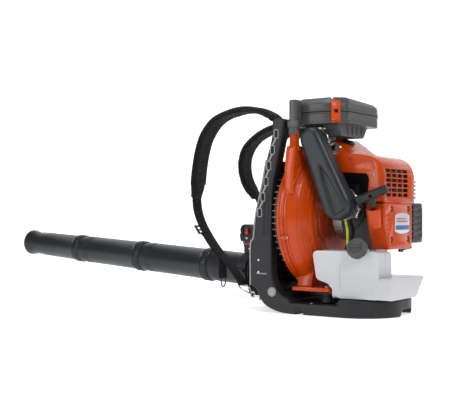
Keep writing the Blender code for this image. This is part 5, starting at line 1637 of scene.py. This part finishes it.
def parting_line(degrees, radius, end, length, place):
    """The mould's line along one side of a tube."""
    a = math.radians(degrees)
    line = []
    for k in range(9):
        along = 0.036 + (length - 0.060) * k / 8
        out = radius + (end - radius) * (along / length)
        line.append(place @ Vector((out * math.cos(a), out * math.sin(a), along)))
    return cable(line, 0.00065, False, 8)


def handle():
    r = TUBE_RADII[0]
    foot = on_tube(HANDLE_Y, r + 0.002)
    y, z = foot.y, foot.z
    side = [(y - 0.013, z - 0.001), (y + 0.014, z - 0.001), (y + 0.012, z + 0.018), (y + 0.024, z + 0.050),
            (y + 0.028, z + 0.074), (y + 0.016, z + 0.086), (y - 0.006, z + 0.084), (y - 0.016, z + 0.068),
            (y - 0.014, z + 0.030)]
    x = PITCH.x
    base = slab(fillet(side, 0.009, 5), "X", x - 0.016, x + 0.016)
    band = ring(r + 0.0006, r + 0.0045, on_tube(HANDLE_Y - 0.015), TUBE_WAY, 0.030, 0.0008, 96)
    cuts = [bar((x - 0.006, y + 0.008, z + 0.026), (x + 0.006, y + 0.05, z + 0.070)),
            bar((x - 0.0055, y - 0.04, z + 0.044), (x + 0.0055, y - 0.009, z + 0.063)),
            bar((x - 0.03, y - 0.010, z + 0.051), (x - 0.0118, y + 0.018, z + 0.079))]
    shell("handle_moulding", "frame_plastic", base, [], cuts, 0.0044, 5, body="throttle_handle",
          nodes=["throttle_handle"], sharp=45)
    place = Matrix.Translation(on_tube(HANDLE_Y - 0.015)) @ turn_to(TUBE_WAY)
    lugs = [placed(bar((r + 0.001, -0.006, 0.004), (r + 0.012, 0.006, 0.026), 0.002, 3),
                   place @ Matrix.Rotation(math.radians(a), 4, "Z")) for a in (0, 180)]
    zig = [(x - 0.0166, y - 0.012, z + 0.022), (x - 0.0166, y - 0.002, z + 0.030),
           (x - 0.0166, y + 0.004, z + 0.024), (x - 0.0166, y + 0.014, z + 0.034)]
    mark = sweep(zig, flat_section(0.0018, 0.0009), (0, 0, 1))
    # Painted highlight: a small pale dome on the grip's side stands for a glint.
    dot = dome((x - 0.0160, y + 0.004, z + 0.044), 0.0034, (0.5, 1, 1), 24)
    bolts = [screw((x - 0.0161, y - 0.006, z + 0.012), (-1, 0, 0), 0.0030, 0.0018)]
    ribs = [bar((x - 0.0122, y - 0.0152 - 0.0006 * k, z + 0.006 + 0.006 * k),
                (x + 0.0122, y - 0.0105, z + 0.0085 + 0.006 * k), 0.0007, 2) for k in range(5)]
    piece("handle_fittings", [("frame_plastic", joined([band] + lugs)), ("handle_red", mark),
                              ("button_pale", dot), ("bright_steel", joined(bolts)),
                              ("black_rubber", joined(ribs))], body="throttle_handle", slot="frame_plastic")
    trigger = slab(fillet([(y + 0.010, z + 0.066), (y + 0.030, z + 0.067), (y + 0.037, z + 0.052),
                           (y + 0.033, z + 0.034), (y + 0.027, z + 0.034), (y + 0.026, z + 0.048)], 0.0022,
                          3), "X", x - 0.0050, x + 0.0050, 0.0012, 2)
    plain("trigger_blade", "black_plastic", trigger, body="throttle_trigger",
          nodes=["throttle_trigger"])
    lever = slab(fillet([(y - 0.006, z + 0.056), (y + 0.006, z + 0.056), (y + 0.004, z + 0.072),
                         (y - 0.002, z + 0.074)], 0.0018, 3), "X", x - 0.0215, x - 0.0122, 0.0010, 2)
    notch = [bar((x - 0.0222, y - 0.003, z + 0.0635 + 0.003 * k),
                 (x - 0.0208, y + 0.003, z + 0.0645 + 0.003 * k)) for k in range(3)]
    plain("cruise_blade", "clip_orange", lever, body="cruise_lever",
          nodes=["cruise_lever"], cuts=notch)
    switch = bar((x - 0.0050, y - 0.0205, z + 0.0450), (x + 0.0050, y - 0.0095, z + 0.0550), 0.0014, 3)
    ridges = [bar((x - 0.0040, y - 0.0212, z + 0.0472 + 0.0024 * k),
                  (x + 0.0040, y - 0.0200, z + 0.0480 + 0.0024 * k)) for k in range(3)]
    plain("switch_cap", "clip_orange", switch, body="stop_switch", nodes=["stop_switch"],
          cuts=ridges)


CABLE_ROUTE = [(-0.070, -0.0525, 0.270), (-0.068, -0.060, 0.240), (-0.050, -0.010, 0.176),
               (0.000, 0.030, 0.128), (0.060, 0.034, 0.110), (0.115, 0.035, 0.118), (0.165, 0.045, 0.140),
               (0.205, 0.085, 0.138), (0.214, 0.135, 0.125), (0.212, 0.200, 0.124), (0.210, 0.260, 0.128),
               (0.208, 0.330, 0.130), (0.206, 0.380, 0.1285), (0.204, 0.415, 0.1335),
               (0.2035, 0.4365, 0.1420)]


def split_at(path, y):
    """The path before and after the place where it first passes y, both holding that place."""
    for i in range(1, len(path)):
        if path[i - 1].y <= y < path[i].y:
            share = (y - path[i - 1].y) / (path[i].y - path[i - 1].y)
            middle = path[i - 1].lerp(path[i], share)
            return path[:i] + [middle], [middle] + path[i:]
    raise ValueError("the cable never passes y = %.3f" % y)


def throttle_line():
    """The throttle cable in four stretches, split at y = 0.150, 0.254 and 0.359; the first rides on the
    machine and the other three are left unparented.
    """
    path = smooth_path(CABLE_ROUTE, 6)
    fixed, rest = split_at(path, 0.150)
    first, rest = split_at(rest, 0.254)
    second, last = split_at(rest, 0.359)
    stretches = (("cable_fixed", fixed, None), ("cable_yaw", first, (MACHINE, "bellows_ring")),
                 ("cable_pitch", second, ("bellows_ring", "blow_tube")),
                 ("cable_slide", last, ("blow_tube", "throttle_handle")))
    for name, stretch, bodies in stretches:
        item = free_line(name, stretch, 0.0025, "black_plastic", "black_plastic",
                         body=None if bodies else MACHINE, nodes=() if bodies else ("throttle_cable",))
        if bodies:
            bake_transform(item)
    end = path[-1]
    way = (path[-1] - path[-2]).normalized()
    ferrule = lathe([(0.0026, -0.012), (0.0040, -0.010), (0.0048, -0.002), (0.0048, 0.001), (0.0026, 0.001)],
                    end, way, 28)
    piece("cable_ferrule", [("black_rubber", ferrule)], body="throttle_handle", slot="black_plastic")



# ---------------------------------------------------------------- hidden parts and stage

INSIDE = {
    "crankcase": "cast_alloy", "cylinder": "cast_alloy", "piston": "cast_alloy", "carburetor": "cast_alloy",
    "crankshaft": "bright_steel", "flywheel": "cast_alloy", "fan_wheel": "black_plastic",
    "spark_plug": "plug_ceramic", "muffler": "dull_steel", "starter_pulley": "black_plastic",
    "choke_lever": "black_plastic", "primer_bulb": "primer_rubber",
}


def dress_inside():
    """The working parts behind the shells keep their own meshes and take full finishes."""
    for node, finish in INSIDE.items():
        item = frame["nodes"][node]
        item.data.materials.clear()
        item.data.materials.append(FINISHES[finish])


FLOOR_GLOW = 0.60                       # so that the lit floor comes out white
VIEW_WAY = Vector((0.8131, 0.5821, 0))  # the level direction the camera looks in


def floor():
    shape = bmesh.new()
    back = 3.4
    path = [(-4.0, 0), (back - 0.8, 0)] + arc((back - 0.8, 0.8), 0.8, -90, 0, 14)[1:] + [(back, 4.0)]
    side = Vector((VIEW_WAY.y, -VIEW_WAY.x, 0))
    rows = [[shape.verts.new(VIEW_WAY * u + side * s + Vector((0, 0, v - 0.0006))) for u, v in path]
            for s in (-5.0, 5.0)]
    for i in range(len(path) - 1):
        shape.faces.new((rows[0][i], rows[1][i], rows[1][i + 1], rows[0][i + 1]))
    item = link("floor", shape)
    paint = Paint("backdrop")
    cloud = paint.speckle(1.4, 2.0)
    tone = paint.mix(cloud, (0.88, 0.88, 0.88), (0.90, 0.90, 0.90))
    item.data.materials.append(paint.surface(Base_Color=tone, Roughness=0.60, Emission_Color=(1.0, 1.0, 1.0),
                                             Emission_Strength=FLOOR_GLOW))
    item.data.shade_smooth()


def softbox(name, place, target, size, power, colour=(1, 1, 1)):
    data = bpy.data.lights.new(name, "AREA")
    data.shape = "RECTANGLE"
    data.size, data.size_y = size
    data.energy = power
    data.color = colour
    lamp = bpy.data.objects.new(name, data)
    lamp.location = place
    lamp.rotation_euler = (Vector(target) - Vector(place)).to_track_quat("-Z", "Y").to_euler()
    bpy.context.scene.collection.objects.link(lamp)


def camera(settings):
    data = bpy.data.cameras.new("camera")
    data.lens = settings.lens
    data.sensor_width = 36
    data.shift_y = 0.01175
    item = bpy.data.objects.new("camera", data)
    item.location = (-2.044, -1.090, 0.253)
    item.rotation_euler = VIEW_WAY.to_track_quat("-Z", "Y").to_euler()
    bpy.context.scene.collection.objects.link(item)
    bpy.context.scene.camera = item


def surroundings(settings):
    """A world that the camera sees as white and that lights the blower only by the fill."""
    world = bpy.data.worlds.new("studio")
    bpy.context.scene.world = world
    world.use_nodes = True
    shader = world.node_tree.nodes["Background"]
    shader.inputs["Color"].default_value = (0.93, 0.95, 1.0, 1)
    links = world.node_tree.links
    rays = world.node_tree.nodes.new("ShaderNodeLightPath")
    seen = world.node_tree.nodes.new("ShaderNodeMapRange")
    seen.inputs["To Min"].default_value = settings.fill
    links.new(rays.outputs["Is Camera Ray"], seen.inputs["Value"])
    links.new(seen.outputs["Result"], shader.inputs["Strength"])


def plain_view():
    """Colours are shown as they are, so that the shells stay orange and the backdrop white."""
    view = bpy.context.scene.view_settings
    view.view_transform = "Standard"
    view.look = "None"


def lamps(settings):
    aim = (0, 0, 0.26)
    softbox("key", (-1.6, -2.0, 2.2), aim, (1.1, 1.1), 46 * settings.key)
    softbox("side", (-2.3, 1.5, 1.1), aim, (0.5, 1.8), 20 * settings.key, (0.96, 0.98, 1.0))
    softbox("rear", (1.7, -1.9, 1.3), aim, (0.8, 1.4), 14 * settings.key)
    softbox("top", (-0.3, 0.4, 2.4), aim, (1.6, 0.9), 18 * settings.key)


# ---------------------------------------------------------------- the add-on

class BLOWER_PG_settings(bpy.types.PropertyGroup):
    """Colours and lighting of the blower."""

    shell_colour: bpy.props.FloatVectorProperty(
        name="Shell", description="Colour of the fan housing, engine cover and starter cover",
        subtype="COLOR", size=3, min=0, max=1, default=(0.48, 0.048, 0.0008))
    frame_colour: bpy.props.FloatVectorProperty(
        name="Frame", description="Colour of the back frame and the handle",
        subtype="COLOR", size=3, min=0, max=1, default=(0.013, 0.0135, 0.015))
    tube_colour: bpy.props.FloatVectorProperty(
        name="Tubes", description="Colour of the blow tubes",
        subtype="COLOR", size=3, min=0, max=1, default=(0.012, 0.0145, 0.019))
    lens: bpy.props.FloatProperty(name="Lens", description="Focal length of the camera on a 36 mm sensor",
                                  default=70.0, min=20, max=200)
    key: bpy.props.FloatProperty(
        name="Lamps", description="Strength of the softboxes", default=1.0, min=0, max=5)
    fill: bpy.props.FloatProperty(
        name="Fill", description="Strength of the light from all around", default=0.20, min=0, max=5)


class BuildStep:
    """What every build step shares."""

    bl_options = {"REGISTER", "UNDO"}

    def execute(self, context):
        for task in self.tasks:
            task()
        return {"FINISHED"}


class BLOWER_OT_frame(BuildStep, bpy.types.Operator):
    """Back frame with its grey bosses and painted rim highlights, ribs, feet and dampers"""

    bl_idname = "blower.frame"
    bl_label = "Back frame"
    tasks = (frame_shell, frame_details, damper_mounts)


class BLOWER_OT_harness(BuildStep, bpy.types.Operator):
    """Pads, shoulder straps, webbing, buckles and rings"""

    bl_idname = "blower.harness"
    bl_label = "Harness"
    tasks = (pads, shoulder_straps, webbing)


class BLOWER_OT_fan(BuildStep, bpy.types.Operator):
    """Fan housing halves and the inlet grille"""

    bl_idname = "blower.fan"
    bl_label = "Fan housing"
    tasks = (fan_shells, grille)


class BLOWER_OT_engine(BuildStep, bpy.types.Operator):
    """Engine cover, louvre, starter, muffler guard and the parts inside"""

    bl_idname = "blower.engine"
    bl_label = "Engine"
    tasks = (cover_shell, louvre, starter_shell, guard, engine_inside, dress_inside)


class BLOWER_OT_intake(BuildStep, bpy.types.Operator):
    """Intake elbow, clamps, air filter and fuel tank"""

    bl_idname = "blower.intake"
    bl_label = "Intake and fuel"
    tasks = (hose_elbow, hose_clamps, filter_parts, tank)


class BLOWER_OT_tube(BuildStep, bpy.types.Operator):
    """Outlet elbow, bellows, blow tubes, handle and throttle cable"""

    bl_idname = "blower.tube"
    bl_label = "Blow tube"
    tasks = (elbow, bellows, tube_runs, handle, throttle_line)


class BLOWER_OT_stage(bpy.types.Operator):
    """Pale floor, soft lamps and the camera"""

    bl_idname = "blower.stage"
    bl_label = "Stage"
    bl_options = {"REGISTER", "UNDO"}

    def execute(self, context):
        settings = context.scene.blower
        floor()
        surroundings(settings)
        plain_view()
        lamps(settings)
        camera(settings)
        return {"FINISHED"}


STEPS = (BLOWER_OT_stage, BLOWER_OT_frame, BLOWER_OT_harness, BLOWER_OT_fan, BLOWER_OT_engine,
         BLOWER_OT_intake, BLOWER_OT_tube)


class BLOWER_PT_panel(bpy.types.Panel):
    """Sidebar panel with the settings and the build steps."""

    bl_label = "Leaf Blower"
    bl_idname = "BLOWER_PT_panel"
    bl_space_type = "VIEW_3D"
    bl_region_type = "UI"
    bl_category = "Leaf Blower"

    def draw(self, context):
        settings = context.scene.blower
        for name in ("shell_colour", "frame_colour", "tube_colour", "lens", "key", "fill"):
            self.layout.prop(settings, name)
        for step in STEPS:
            self.layout.operator(step.bl_idname)


CLASSES = (BLOWER_PG_settings,) + STEPS + (BLOWER_PT_panel,)


def register():
    for each in CLASSES:
        bpy.utils.register_class(each)
    bpy.types.Scene.blower = bpy.props.PointerProperty(type=BLOWER_PG_settings)


def unregister():
    del bpy.types.Scene.blower
    for each in reversed(CLASSES):
        bpy.utils.unregister_class(each)


def main():
    register()
    make_finishes(bpy.context.scene.blower)
    bpy.ops.blower.stage()
    bpy.ops.blower.frame()
    bpy.ops.blower.harness()
    bpy.ops.blower.fan()
    bpy.ops.blower.engine()
    bpy.ops.blower.intake()
    bpy.ops.blower.tube()


if __name__ == "__main__":
    main()
